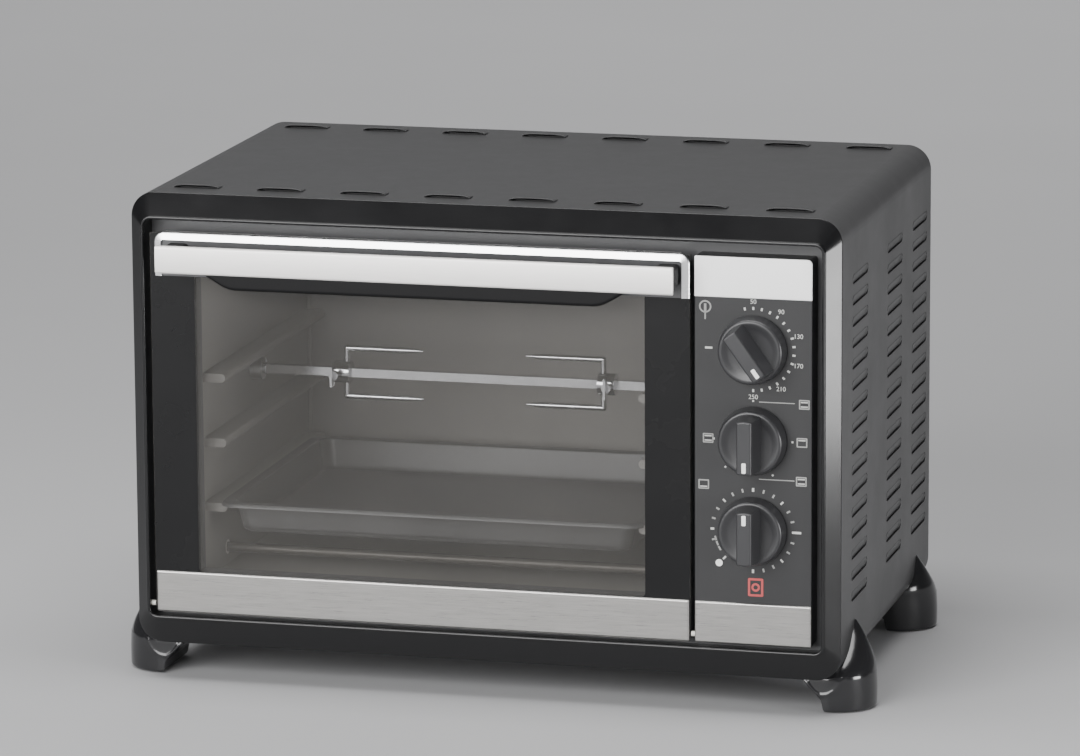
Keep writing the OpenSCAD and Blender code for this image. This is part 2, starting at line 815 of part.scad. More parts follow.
module heater_bushes() {
  color("#e6e1d6") set_back() for (y = heater_rows(), z = heater_heights(), side = [-1, 1]) {
    x = side < 0 ? cavity_l : cavity_r;
    seat = x + side * cavity_t;
    end = x + side * bushing_len;
    difference() {
      union() {
        rod_x(y, z, bushing_r, min(x, end), max(x, end));
        rod_x(y, z, bushing_r + bushing_collar, min(seat, end), max(seat, end));
      }
      rod_x(y, z, heater_r, x - bushing_len - 1, x + bushing_len + 1);
    }
  }
}

// ---- control panel ----

module control_panel() {
  color("#57585a") set_back() difference() {
    plate_xz(face_y, plate_y) round_rect([panel_l, door_z0], [panel_r, panel_z1], panel_corner);
    block([panel_l + panel_wall, face_y + panel_wall + trim_sheet, door_z0 + panel_wall],
          [panel_r - panel_wall, plate_y + 1, panel_z1 - panel_wall]);
    block([panel_l - 1, face_y - 1, panel_z1 - nameplate_h],
          [panel_r + 1, face_y + trim_sheet, panel_z1 + 1]);
    block([panel_l - 1, face_y - 1, door_z0 - 1],
          [panel_r + 1, face_y + trim_sheet, door_z0 + strip_h]);
    for (z = knob_z) rod_y(panel_x, z, bush_r + 3 * move_gap, face_y - 1, plate_y);
  }
}

module nameplate() {
  color("#f2f2f2") set_back() plate_xz(face_y, face_y + trim_sheet)
    arch_rect([panel_l, panel_z1 - nameplate_h], [panel_r, panel_z1], nameplate_corner);
}

module panel_trim_strip() {
  color("#bdbdbd") set_back()
    block([panel_l, face_y, door_z0], [panel_r, face_y + trim_sheet, door_z0 + strip_h]);
}

// The bushing that holds a control in the front frame, with the bore for its shaft.
module control_bush(z) {
  difference() {
    union() {
      rod_y(panel_x, z, bush_r, face_y + panel_wall + trim_sheet, plate_back + 1);
      children();
    }
    rod_y(panel_x, z, shaft_r + run_gap, face_y, shaft_back + move_gap);
  }
}

// A box w wide and h high around a control's axis, from the front frame back.
module control_box(z, w, h) {
  block([panel_x - w / 2, plate_back, z - h / 2], [panel_x + w / 2, plate_back + control_d, z + h / 2]);
}

module thermostat() {
  color("#c9c4b8") set_back()
    control_bush(knob_z[0]) control_box(knob_z[0], thermostat_w, thermostat_h);
}

module function_switch() {
  color("#3c3f44") set_back()
    control_bush(knob_z[1]) rod_y(panel_x, knob_z[1], switch_r, plate_back, plate_back + control_d);
}

module timer_unit() {
  bell_y = plate_back + control_d;
  color("#b9bcc0") set_back() control_bush(knob_z[2]) {
    control_box(knob_z[2], timer_w, timer_w);
    rod_y(panel_x, knob_z[2], bell_r, bell_y - eps, bell_y + bell_d);
  }
}

// The bulb lies along the cavity's right wall, held by two clips.
module thermostat_bulb() {
  x = cavity_r - bulb_side;
  y = cavity_back_y - bulb_rear - bulb_len;
  z = cavity_z1 - bulb_drop;
  color("#c08a5a") set_back() {
    translate([x, y, z]) rotate([-90, 0, 0]) cylinder(h = bulb_len, r = bulb_r);
    for (at = [clip_in, bulb_len - clip_in])
      block([x, y + at - clip_w / 2, z - bulb_r], [cavity_r, y + at + clip_w / 2, z + bulb_r]);
  }
}

module terminal_block() {
  pitch = terminal_len / 4;
  color("#efe9dc") set_back()
    translate([gland_x - terminal_len / 2, housing_d - gland_seat - 3 * terminal_w, foot_h + sheet])
      difference() {
        cube([terminal_len, terminal_w, terminal_h]);
        for (i = [0:3])
          translate([(i + 0.5) * pitch, terminal_w / 2, terminal_h / 2])
            cylinder(h = terminal_h, r = terminal_r);
      }
}

module cord_gland() {
  color("#1a1a1a") set_back() difference() {
    union() {
      rod_y(gland_x, gland_z, gland_r, housing_d, housing_d + gland_out);
      rod_y(gland_x, gland_z, gland_neck, housing_d - gland_seat, housing_d + eps);
    }
    rod_y(gland_x, gland_z, gland_bore, housing_d - gland_seat - 1, housing_d + gland_out + 1);
  }
}

// ---- hinge ----

// Middles of the two hinges along X.
function hinge_xs() = [door_l + hinge_in, door_r - hinge_in];

module hinge_brackets() {
  color("#8a8a8c") set_back() for (x = hinge_xs()) difference() {
    union() {
      rod_x(hinge_y, hinge_z, ear_r, x - ear_t / 2, x + ear_t / 2);
      block([x - ear_t / 2, hinge_y, hinge_z - ear_r / 2], [x + ear_t / 2, plate_y, hinge_z + ear_r / 2]);
      block([x - flange_w / 2, plate_y - flange_t, hinge_z - ear_r / 2],
            [x + flange_w / 2, plate_y, hinge_z - ear_r / 2 + flange_h]);
    }
    rod_x(hinge_y, hinge_z, hinge_pin_r + run_gap, x - ear_t, x + ear_t);
  }
}

module hinge_pins() {
  reach = ear_t * 1.5 + move_gap;
  color("#b5b5b8") set_back() for (x = hinge_xs())
    rod_x(hinge_y, hinge_z, hinge_pin_r, x - reach, x + reach);
}

// Small bushes beside the door's lower corners keep it centred in its opening.
module door_side_bushes() {
  y = (face_y + glass_back) / 2;
  z = door_z0 + side_bush_up;
  color("#c9c5ba") set_back() {
    rod_x(y, z, side_bush_r, open_l, door_l - move_gap);
    rod_x(y, z, side_bush_r, door_r + move_gap, panel_l);
  }
}

// ---- door ----

module door_glass() {
  color([0.25, 0.25, 0.26, 0.5]) set_back() difference() {
    block([door_l, glass_y, door_z0 + trim_sheet], [door_r, glass_back, door_z1 - trim_sheet]);
    for (x = post_xs())
      rod_y(x, post_z, handle_screw_r + screw_gap, glass_y - 1, glass_back + 1);
  }
}

// Middles of the two handle posts along X.
function post_xs() = [handle_l + post_w / 2, handle_r - post_w / 2];

module door_inner_frame() {
  color("#4d4d4f") set_back() difference() {
    union() {
      difference() {
        block([inner_l, glass_back, inner_z0], [inner_r, inner_back, inner_z1]);
        block([window_l, glass_back - 1, window_z0], [window_r, inner_back + 1, window_z1]);
        difference() {
          block([inner_l + inner_wall, glass_back - 1, inner_z0 + inner_wall],
                [inner_r - inner_wall, inner_back - inner_wall, inner_z1 - inner_wall]);
          block([window_l - inner_wall, glass_back - 2, window_z0 - inner_wall],
                [window_r + inner_wall, inner_back, window_z1 + inner_wall]);
        }
      }
      for (x = hinge_xs(), s = [-1, 1]) {
        a = x + s * (ear_t / 2 + move_gap);
        b = a + s * ear_t;
        rod_x(hinge_y, hinge_z, lug_r, min(a, b), max(a, b));
        block([min(a, b), glass_back, hinge_z], [max(a, b), hinge_y + lug_r, inner_z0 + inner_wall]);
      }
    }
    for (x = hinge_xs()) rod_x(hinge_y, hinge_z, hinge_pin_r, x - 4 * ear_t, x + 4 * ear_t);
    for (x = post_xs())
      rod_y(x, post_z, handle_head_r + 3 * screw_gap, inner_back - 2 * inner_wall, inner_back + 1);
  }
}

module door_bottom_strip() {
  color("#bdbdbd") set_back() {
    l = door_l + strip_in;
    r = door_r - strip_in;
    block([l, face_y, door_z0], [r, glass_y, door_z0 + strip_h]);
    block([l, face_y, door_z0], [r, glass_y + strip_foot, door_z0 + trim_sheet]);
  }
}

module door_top_trim() {
  color("#e8e8ea") set_back() {
    plate_xz(face_y - trim_out, glass_y) difference() {
      arch_rect([trim_l, trim_z0], [door_r, door_z1], trim_r);
      arch_rect([trim_l + trim_w, trim_z0 - 1], [door_r - trim_w, door_z1 - trim_w], trim_r - trim_w);
    }
    block([trim_l + trim_r, face_y - trim_out, door_z1 - trim_sheet],
          [door_r - trim_r, glass_back, door_z1]);
  }
}

module handle_backplate() {
  color("#4b4b4d") set_back() difference() {
    plate_xz(face_y, glass_y)
      arch_rect([trim_l + trim_w, trim_z0], [door_r - trim_w, door_z1 - trim_w], trim_r - trim_w);
    for (x = post_xs())
      rod_y(x, post_z, handle_screw_r + screw_gap, face_y - 1, glass_y + 1);
  }
}

// Half of a cosine wave: 0 at the first step and 1 at the last one.
function ease(i, steps) = (1 - cos(180 * i / steps)) / 2;

// Outline of the grip in X and Z: a bar with a belly between the posts.
module grip_outline() {
  l = handle_l + trim_sheet;
  r = handle_r - trim_sheet;
  low = handle_z0 + trim_sheet;
  belly_l = handle_l + post_w + belly_in;
  belly_r = handle_r - post_w - belly_in;
  steps = 10;
  down = [
    for (i = [0:steps]) [belly_l + belly_ramp * i / steps, low - grip_drop * ease(i, steps)]
  ];
  up = [
    for (i = [0:steps]) [belly_r - belly_ramp * (1 - i / steps), low - grip_drop * ease(steps - i, steps)]
  ];
  high = handle_z1 - trim_sheet;
  polygon(concat([[l, high], [l, low]], down, up, [[r, low], [r, high]]));
}

module handle_grip() {
  screw_y = face_y - handle_out / 2;
  color("#202022") set_back() difference() {
    union() {
      plate_xz(handle_y + trim_sheet, grip_back) grip_outline();
      for (x = post_xs())
        block([x - post_w / 2 + trim_sheet, grip_back - eps, handle_z0 + 2 * trim_sheet],
              [x + post_w / 2, face_y, handle_z1 - 2 * trim_sheet]);
    }
    for (x = post_xs()) rod_y(x, post_z, handle_screw_r, screw_y, face_y + 1);
    block([handle_l, handle_y, handle_z0 - trim_sheet],
          [handle_r, handle_y + face_fold, handle_z0 + trim_sheet]);
  }
}

module handle_face() {
  color("#d2d0cc") set_back() difference() {
    block([handle_l, handle_y, handle_z0], [handle_r, handle_y + face_fold, handle_z1]);
    block([handle_l + trim_sheet, handle_y + trim_sheet, handle_z0 + trim_sheet],
          [handle_r - trim_sheet, handle_y + face_fold + 1, handle_z1 - trim_sheet]);
  }
}

module handle_screws() {
  color("#b5b5b8") set_back() for (x = post_xs()) {
    rod_y(x, post_z, handle_screw_r, face_y - handle_out / 2, glass_back);
    rod_y(x, post_z, handle_head_r, glass_back, glass_back + handle_head_h);
  }
}

// ---- knobs ----

// A knob on the axis at height z, its pointer turned clockwise from twelve o'clock:
// a round skirt with a grip bar across it, cut to a cone at the bar's ends.
module knob(z, turn) {
  back = knob_gap;
  r = knob_d / 2;
  half = bar_w / 2;
  translate([panel_x, face_y, z]) rotate([90, 0, 0]) rotate([0, 0, -turn]) difference() {
    union() {
      rotate_extrude($fn = 96) polygon([
        [0, back], [r, back], [r, back + 2], [r - skirt_lean, skirt_h - skirt_shoulder / 2.5],
        [r - skirt_shoulder / 2, skirt_h - skirt_lean / 2], [r - skirt_shoulder, skirt_h], [0, skirt_h]
      ]);
      intersection() {
        translate([0, bar_len, 0]) rotate([90, 0, 0]) linear_extrude(2 * bar_len) polygon([
          [-half - bar_flare, back + 1], [half + bar_flare, back + 1],
          [half, knob_h - bar_bevel], [half - bar_bevel, knob_h],
          [bar_bevel - half, knob_h], [-half, knob_h - bar_bevel]
        ]);
        cylinder(h = knob_h + 1, r1 = bar_len / 2 + 2, r2 = bar_len / 2 - 0.5, $fn = 96);
      }
    }
    translate([0, 0, back - 1]) cylinder(h = knob_h - knob_cap - back + 1, r = shaft_r);
  }
}

// The shaft of a knob, from inside the knob to inside its control.
module shaft(z) {
  rod_y(panel_x, z, shaft_r, face_y - knob_h + knob_cap + move_gap, shaft_back);
}

module temperature_knob() {
  color("#333336") set_back() knob(knob_z[0], temperature_at);
}

module temperature_shaft() {
  color("#a8a8aa") set_back() shaft(knob_z[0]);
}

module function_knob() {
  color("#333336") set_back() knob(knob_z[1], function_at);
}

module function_shaft() {
  color("#a8a8aa") set_back() shaft(knob_z[1]);
}

module timer_knob() {
  color("#333336") set_back() knob(knob_z[2], timer_at);
}

module timer_shaft() {
  color("#a8a8aa") set_back() shaft(knob_z[2]);
}

// ---- rotisserie ----

// The motor stands on a short neck outside the cavity's right wall.
module spit_motor() {
  x = cavity_r + cavity_t;
  neck = 4;
  color("#9a9a9c") set_back() difference() {
    union() {
      rod_x(spit_axis_y, spit_axis_z, motor_r, x + neck, x + motor_len);
      rod_x(spit_axis_y, spit_axis_z, motor_r * 0.6, x, x + neck + eps);
    }
    rod_x(spit_axis_y, spit_axis_z, shaft_r + run_gap, x - 1, x + motor_len - hub_len / 2);
  }
}

// An open cradle, so that the spit lifts out.
module spit_bearing() {
  bore = journal_r + run_gap;
  color("#b0b0b2") set_back() difference() {
    rod_x(spit_axis_y, spit_axis_z, journal_r + cradle_wall, cavity_l, cavity_l + cradle_w);
    rod_x(spit_axis_y, spit_axis_z, bore, cavity_l - 1, cavity_l + cradle_w + 1);
    block([cavity_l - 1, spit_axis_y - bore, spit_axis_z],
          [cavity_l + cradle_w + 1, spit_axis_y + bore, spit_axis_z + journal_r + cradle_wall + 1]);
  }
}

// A square bar along the spit axis, from x0 to x1.
module square_bar(x0, x1) {
  block([x0, spit_axis_y - spit_w / 2, spit_axis_z - spit_w / 2],
        [x1, spit_axis_y + spit_w / 2, spit_axis_z + spit_w / 2]);
}

module spit_rod() {
  x = cavity_l + cradle_w + 1;
  color("#c4c4c6") set_back() {
    square_bar(x, cavity_r - spit_end);
    rod_x(spit_axis_y, spit_axis_z, journal_r, cavity_l + move_gap, x + 1);
  }
}

// One tine of a fork, pointing along X from its root at x; into gives its direction.
module tine(x, z, into) {
  tip = 10;
  translate([x, spit_axis_y, z]) rotate([0, into * 90, 0]) {
    cylinder(h = tine_len - tip, r = tine_r);
    translate([0, 0, tine_len - tip]) cylinder(h = tip, r1 = tine_r, r2 = tine_r * 0.3);
    sphere(tine_r);
  }
}

// One fork. into is 1 when its tines point to the right.
module fork(into) {
  x = cavity_mid - into * fork_span / 2;
  root = x + into * hub_len / 4;
  difference() {
    union() {
      rod_x(spit_axis_y, spit_axis_z, hub_r, x - hub_len / 2, x + hub_len / 2);
      translate([root, spit_axis_y, spit_axis_z - tine_out]) cylinder(h = 2 * tine_out, r = tine_r);
      for (s = [-1, 1]) tine(root, spit_axis_z + s * tine_out, into);
    }
    square_bar(x - hub_len, x + hub_len);
    translate([x - into * thumb_in, spit_axis_y, spit_axis_z]) rotate([90, 0, 0])
      cylinder(h = 2 * hub_r, r = thumb_r);
  }
}

module spit_fork_left() {
  color("#c4c4c6") set_back() fork(1);
}

module spit_fork_right() {
  color("#c4c4c6") set_back() fork(-1);
}

// A thumb screw clamps each fork to the rod: a shank, a collar and a flat wing.
module fork_screws() {
  collar = 4;
  wing = 14;
  color("#a0a0a2") set_back() for (into = [1, -1]) {
    x = cavity_mid - into * (fork_span / 2 + thumb_in);
    translate([x, spit_axis_y - spit_w / 2, spit_axis_z]) rotate([90, 0, 0]) {
      cylinder(h = hub_r + collar, r = thumb_r);
      translate([0, 0, hub_r + thumb_r]) cylinder(h = collar, r = 2 * thumb_r);
      translate([0, 0, hub_r + collar + wing / 4]) cube([thumb_r, wing, wing / 2], center = true);
    }
  }
}

module drive_socket() {
  x = cavity_r;
  color("#8c8c8e") set_back() difference() {
    union() {
      rod_x(spit_axis_y, spit_axis_z, socket_r, x - socket_len, x - move_gap);
      rod_x(spit_axis_y, spit_axis_z, shaft_r, x - 1, x + cavity_t + motor_len - hub_len / 2 - 2);
    }
    square_bar(x - socket_len - 1, x - spit_end);
  }
}

// ---- tray ----

module baking_tray() {
  low = [tray_l + tray_rim, tray_y + tray_rim];
  high = [tray_r - tray_rim, tray_y + tray_len - tray_rim];
  wall = [tray_t, tray_t];
  color("#77777a") set_back() difference() {
    union() {
      translate([0, 0, rim_z]) linear_extrude(tray_t)
        round_rect([tray_l, tray_y], [tray_r, tray_y + tray_len], tray_corner);
      translate([0, 0, rim_z + tray_t - tray_h]) linear_extrude(tray_h - eps)
        round_rect(low, high, tray_corner);
    }
    translate([0, 0, rim_z + 2 * tray_t - tray_h]) linear_extrude(tray_h)
      round_rect(low + wall, high - wall, tray_corner - tray_t);
  }
}

housing_wrap();
front_bezel();
front_frame();
rear_panel();
base_pan();
foot_front_left();
foot_front_right();
foot_rear_left();
foot_rear_right();
foot_pads();
cavity_left_wall();
cavity_right_wall();
cavity_back();
cavity_top();
cavity_floor();
heater_upper_front();
heater_upper_rear();
heater_lower_front();
heater_lower_rear();
heater_bushes();
control_panel();
nameplate();
panel_trim_strip();
thermostat();
function_switch();
timer_unit();
thermostat_bulb();
spit_motor();
spit_bearing();
terminal_block();
cord_gland();
hinge_brackets();
door_side_bushes();
housing_screws();
door_glass();
door_inner_frame();
door_bottom_strip();
door_top_trim();
handle_backplate();
handle_grip();
handle_face();
handle_screws();
hinge_pins();
temperature_knob();
temperature_shaft();
function_knob();
function_shaft();
timer_knob();
timer_shaft();
spit_rod();
spit_fork_left();
spit_fork_right();
fork_screws();
drive_socket();
baking_tray();
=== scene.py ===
"""The looks of a countertop rotisserie oven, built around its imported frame.

Lengths are in metres in the frame's own axes: X to the right, Y to the back and
Z up. Each sub-assembly is a class that holds its sizes as fields, works out its
surfaces as numpy grids and dresses them in procedural finishes. Positions come
from the frame's nodes, so every piece sits where the construction says.
"""
import json
import logging
import math
from dataclasses import dataclass, field
from enum import Enum

import bmesh
import bpy
import numpy as np
from mathutils import Matrix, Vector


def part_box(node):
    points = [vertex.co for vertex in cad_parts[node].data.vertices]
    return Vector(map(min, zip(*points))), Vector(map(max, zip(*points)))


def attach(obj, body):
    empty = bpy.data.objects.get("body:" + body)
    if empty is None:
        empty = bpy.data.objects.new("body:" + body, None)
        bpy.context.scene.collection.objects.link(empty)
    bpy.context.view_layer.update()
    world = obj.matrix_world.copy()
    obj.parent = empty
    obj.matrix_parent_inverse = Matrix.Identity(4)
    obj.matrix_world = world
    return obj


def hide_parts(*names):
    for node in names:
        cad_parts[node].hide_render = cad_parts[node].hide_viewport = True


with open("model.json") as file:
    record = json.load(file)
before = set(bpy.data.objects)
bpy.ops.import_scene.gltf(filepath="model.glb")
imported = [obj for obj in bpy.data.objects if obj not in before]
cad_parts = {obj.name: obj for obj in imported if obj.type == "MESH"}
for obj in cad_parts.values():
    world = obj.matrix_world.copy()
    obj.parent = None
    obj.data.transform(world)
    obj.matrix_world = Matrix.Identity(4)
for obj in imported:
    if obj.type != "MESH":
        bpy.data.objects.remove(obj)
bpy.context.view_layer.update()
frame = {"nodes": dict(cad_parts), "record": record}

MM = 0.001
QUARTER = math.pi / 2
TURN = 2 * math.pi
# Points closer than this become one point.
WELD = 0.001 * MM
# A length that is too small to show, for sharp corners, closed poles and butted rims.
SHARP = 0.02 * MM
# Most of a noise's values lie in this range.
NOISE_SPAN = (0.3, 0.7)
# Start of each finish's material name, which tells it from the frame's own material.
LOOK = "look_"
Array = np.ndarray
Pair = tuple[float, float]
Triple = tuple[float, float, float]
Quad = tuple[float, float, float, float]
log = logging.getLogger("oven")


# ---- finishes ----


class Grain(Enum):
    """How a finish's fine relief runs: evenly, in long lines along X, or not at all."""

    NONE = "none"
    EVEN = "even"
    BRUSHED = "brushed"


class NodeTree:
    """A material's node tree with short calls for adding and joining nodes."""

    def __init__(self, name: str) -> None:
        """Makes an empty material.

        Args:
            name: The material's name.
        """
        self.material = bpy.data.materials.new(name)
        self.material.use_nodes = True
        self.tree = self.material.node_tree
        self.tree.nodes.clear()
        self.output = self.tree.nodes.new("ShaderNodeOutputMaterial")
        self.coords = self.tree.nodes.new("ShaderNodeTexCoord").outputs["Object"]

    def add(self, kind: str, **values: object) -> bpy.types.Node:
        """Adds a node and sets its sockets or properties.

        Args:
            kind: The node's type without the ShaderNode prefix.
            values: Socket names, with _ for a space, or properties, and what they become.

        Returns:
            The new node.
        """
        node = self.tree.nodes.new("ShaderNode" + kind)
        for key, value in values.items():
            socket = key.replace("_", " ")
            if socket in node.inputs:
                node.inputs[socket].default_value = value
            else:
                setattr(node, key, value)
        return node

    def join(self, start: bpy.types.NodeSocket, end: bpy.types.NodeSocket) -> None:
        """Links one socket to another."""
        self.tree.links.new(start, end)

    def noise(self, scale: Triple, detail: float = 3.0, roughness: float = 0.6) -> bpy.types.NodeSocket:
        """Adds a noise over Object coordinates.

        Args:
            scale: Waves per metre along X, Y and Z.
            detail: Octaves of finer waves.
            roughness: Strength of the finer waves.

        Returns:
            The noise's value, from 0 to 1 around 0.5.
        """
        mapping = self.add("Mapping", Scale=scale)
        self.join(self.coords, mapping.inputs["Vector"])
        node = self.add("TexNoise", Scale=1.0, Detail=detail, Roughness=roughness)
        self.join(mapping.outputs["Vector"], node.inputs["Vector"])
        return node.outputs["Fac"]

    def span(self, value: bpy.types.NodeSocket, source: Pair, target: Pair) -> bpy.types.NodeSocket:
        """Maps one range of a value to another range, clamped.

        Args:
            value: The value to map.
            source: The range it comes from.
            target: The range it goes to.

        Returns:
            The mapped value.
        """
        node = self.add("MapRange", From_Min=source[0], From_Max=source[1],
                        To_Min=target[0], To_Max=target[1])
        self.join(value, node.inputs["Value"])
        return node.outputs["Result"]

    def blend(self, share: bpy.types.NodeSocket, low: Triple, high: Triple) -> bpy.types.NodeSocket:
        """Mixes two colours by a share.

        Args:
            share: 0 for the first colour, 1 for the second.
            low: The first colour.
            high: The second colour.

        Returns:
            The mixed colour.
        """
        node = self.tree.nodes.new("ShaderNodeMix")
        node.data_type = "RGBA"
        for socket in node.inputs:
            if socket.identifier == "A_Color":
                socket.default_value = (*low, 1.0)
            if socket.identifier == "B_Color":
                socket.default_value = (*high, 1.0)
            if socket.identifier == "Factor_Float":
                self.join(share, socket)
        return next(s for s in node.outputs if s.identifier == "Result_Color")


@dataclass(frozen=True)
class Finish:
    """A surface finish: a base colour with its gloss, fine relief and slow variation."""

    name: str
    slot: str
    colour: Triple
    roughness: float
    metallic: float = 0.0
    specular: float = 0.5
    coat: float = 0.0
    coat_roughness: float = 0.1
    grain: Grain = Grain.EVEN
    grain_size: float = 0.8 * MM
    relief: float = 0.01 * MM
    mottle: float = 0.06
    mottle_size: float = 60 * MM
    rough_spread: float = 0.04
    least_roughness: float = 0.02
    anisotropy: float = 0.0
    line_stretch: float = 60.0

    def grain_scale(self) -> Triple:
        """Works out the fine relief's waves: 1 / size, and fewer along X on brushed metal.

        Returns:
            Waves per metre along X, Y and Z.
        """
        fine = 1 / self.grain_size
        along = fine / self.line_stretch if self.grain is Grain.BRUSHED else fine
        return along, fine, fine

    def material(self) -> bpy.types.Material:
        """Builds the finish's material the first time and finds it again after that.

        Returns:
            The material.
        """
        known = bpy.data.materials.get(LOOK + self.name)
        if known:
            return known
        nodes = NodeTree(LOOK + self.name)
        shader = nodes.add("BsdfPrincipled", Metallic=self.metallic,
                           Specular_IOR_Level=self.specular)
        shader.inputs["Coat Weight"].default_value = self.coat
        shader.inputs["Coat Roughness"].default_value = self.coat_roughness
        shader.inputs["Anisotropic"].default_value = self.anisotropy
        slow = nodes.noise((1 / self.mottle_size,) * 3, 4.0)
        fine = nodes.noise(self.grain_scale(), 1.0, 0.5)
        self.paint(nodes, shader, slow, fine)
        self.roughen(nodes, shader, slow, fine)
        if self.grain is not Grain.NONE:
            bump = nodes.add("Bump", Strength=1.0, Distance=self.relief)
            nodes.join(fine, bump.inputs["Height"])
            nodes.join(bump.outputs["Normal"], shader.inputs["Normal"])
        nodes.join(shader.outputs["BSDF"], nodes.output.inputs["Surface"])
        return nodes.material

    def paint(self, nodes: NodeTree, shader: bpy.types.Node, slow: bpy.types.NodeSocket,
              fine: bpy.types.NodeSocket) -> None:
        """Colours the surface: slow patches, with lines of the grain where it is brushed.

        Args:
            nodes: The tree to add to.
            shader: The surface shader.
            slow: Noise of the slow patches.
            fine: Noise of the grain.
        """
        low = tuple(c * (1 - self.mottle) for c in self.colour)
        high = tuple(min(c * (1 + self.mottle), 1.0) for c in self.colour)
        source = fine if self.grain is Grain.BRUSHED else slow
        share = nodes.span(source, NOISE_SPAN, (0.0, 1.0))
        nodes.join(nodes.blend(share, low, high), shader.inputs["Base Color"])

    def roughen(self, nodes: NodeTree, shader: bpy.types.Node, slow: bpy.types.NodeSocket,
                fine: bpy.types.NodeSocket) -> None:
        """Lets the roughness wander around its value by the spread.

        Args:
            nodes: The tree to add to.
            shader: The surface shader.
            slow: Noise of the slow patches.
            fine: Noise of the grain.
        """
        source = fine if self.grain is Grain.BRUSHED else slow
        low = max(self.roughness - self.rough_spread, self.least_roughness)
        value = nodes.span(source, NOISE_SPAN, (low, self.roughness + self.rough_spread))
        nodes.join(value, shader.inputs["Roughness"])


@dataclass(frozen=True)
class GlassFinish:
    """Tinted glass: a thin glossy film over clear, the same all over the pane."""

    name: str
    slot: str
    tint: Triple
    film: float
    roughness: float = 0.04
    smear_waves: float = 9.0
    smear_source: Pair = (0.35, 0.65)
    smear_shade: Pair = (0.9, 1.1)

    def material(self) -> bpy.types.Material:
        """Builds the glass once: a glossy film mixed with clear by a fixed share.

        Returns:
            The material.
        """
        known = bpy.data.materials.get(LOOK + self.name)
        if known:
            return known
        nodes = NodeTree(LOOK + self.name)
        film = nodes.add("BsdfPrincipled", Roughness=self.roughness)
        smear = nodes.span(nodes.noise((self.smear_waves,) * 3), self.smear_source, self.smear_shade)
        shade = nodes.add("MixRGB", blend_type="MULTIPLY", Fac=1.0, Color1=(*self.tint, 1.0))
        nodes.join(smear, shade.inputs["Color2"])
        nodes.join(shade.outputs["Color"], film.inputs["Base Color"])
        clear = nodes.add("BsdfTransparent")
        mix = nodes.add("MixShader")
        mix.inputs[0].default_value = self.film
        nodes.join(clear.outputs[0], mix.inputs[1])
        nodes.join(film.outputs[0], mix.inputs[2])
        nodes.join(mix.outputs[0], nodes.output.inputs["Surface"])
        return nodes.material


# Width of one line of brushed metal.
BRUSH_LINE = 0.35 * MM

HOUSING = Finish("housing_paint", "housing_paint", (0.043, 0.043, 0.044), 0.36, specular=0.28,
                 mottle=0.035)
REAR = Finish("rear_paint", "housing_paint", (0.05, 0.05, 0.051), 0.42, specular=0.3,
              relief=0.02 * MM, mottle=0.08)
BEZEL = Finish("bezel_plastic", "bezel_plastic", (0.006, 0.006, 0.0065), 0.24, specular=0.3,
               coat=0.25, coat_roughness=0.16, grain_size=0.6 * MM, relief=0.004 * MM)
ENAMEL = Finish("frame_enamel", "frame_enamel", (0.075, 0.075, 0.078), 0.35, relief=0.015 * MM)
FOOT = Finish("foot_plastic", "foot_plastic", (0.012, 0.012, 0.013), 0.16, relief=0.004 * MM,
              coat=0.3)
RUBBER = Finish("pad_rubber", "pad_rubber", (0.02, 0.02, 0.02), 0.8, relief=0.05 * MM)
CAVITY = Finish("cavity_steel", "cavity_steel", (0.29, 0.278, 0.26), 0.5, metallic=0.1,
                relief=0.02 * MM, rough_spread=0.08)
ELEMENT = Finish("element_steel", "element_steel", (0.12, 0.11, 0.1), 0.45, metallic=0.6,
                 mottle=0.2)
CERAMIC = Finish("ceramic", "ceramic", (0.72, 0.7, 0.64), 0.35)
PANEL = Finish("panel_paint", "panel_paint", (0.024, 0.024, 0.025), 0.42, specular=0.36,
               mottle=0.05)
STEEL = Finish("brushed_steel", "brushed_steel", (0.44, 0.43, 0.415), 0.32, metallic=1.0,
               grain=Grain.BRUSHED, grain_size=BRUSH_LINE, relief=0.004 * MM, mottle=0.08,
               rough_spread=0.05, anisotropy=0.6)
# Painted highlight: the plate's near-white colour, far lighter than the brushed steel strip, stands in for
# its bright reflection.
PLATE = Finish("plate_steel", "brushed_steel", (0.98, 0.98, 0.975), 0.56, metallic=0.55,
               grain=Grain.BRUSHED, grain_size=BRUSH_LINE, relief=0.002 * MM, mottle=0.01,
               anisotropy=0.2)
# Painted highlight: the handle's near-white colour, far lighter than the brushed steel strip, stands in for
# its bright reflection.
HANDLE = Finish("handle_steel", "brushed_steel", (0.97, 0.95, 0.925), 0.5, metallic=0.75,
                grain=Grain.BRUSHED, grain_size=BRUSH_LINE, relief=0.003 * MM, mottle=0.03,
                rough_spread=0.06, anisotropy=0.3)
CHROME = Finish("bright_trim", "bright_trim", (0.96, 0.96, 0.965), 0.27, metallic=1.0,
                relief=0.002 * MM, mottle=0.02, rough_spread=0.03)
CONTROL = Finish("control_body", "control_body", (0.55, 0.53, 0.48), 0.5)
DARK = Finish("dark_plastic", "dark_plastic", (0.006, 0.006, 0.0065), 0.5, specular=0.16,
              relief=0.015 * MM)
COPPER = Finish("bulb_copper", "bulb_copper", (0.6, 0.36, 0.22), 0.35, metallic=1.0, mottle=0.15)
PLATED = Finish("plated_steel", "plated_steel", (0.6, 0.6, 0.6), 0.32, metallic=1.0, mottle=0.1)
SPIT = Finish("spit_chrome", "spit_chrome", (0.72, 0.72, 0.73), 0.16, metallic=1.0, mottle=0.05)
KNOB = Finish("knob_plastic", "knob_plastic", (0.026, 0.026, 0.028), 0.33, grain_size=0.5 * MM)
TRAY = Finish("tray_enamel", "tray_enamel", (0.08, 0.079, 0.08), 0.34, relief=0.02 * MM,
              mottle=0.08)
PRINT_WHITE = Finish("print_white", "panel_paint", (0.55, 0.55, 0.53), 0.5, mottle=0.08)
PRINT_BRIGHT = Finish("print_bright", "panel_paint", (0.92, 0.92, 0.9), 0.45, mottle=0.03)
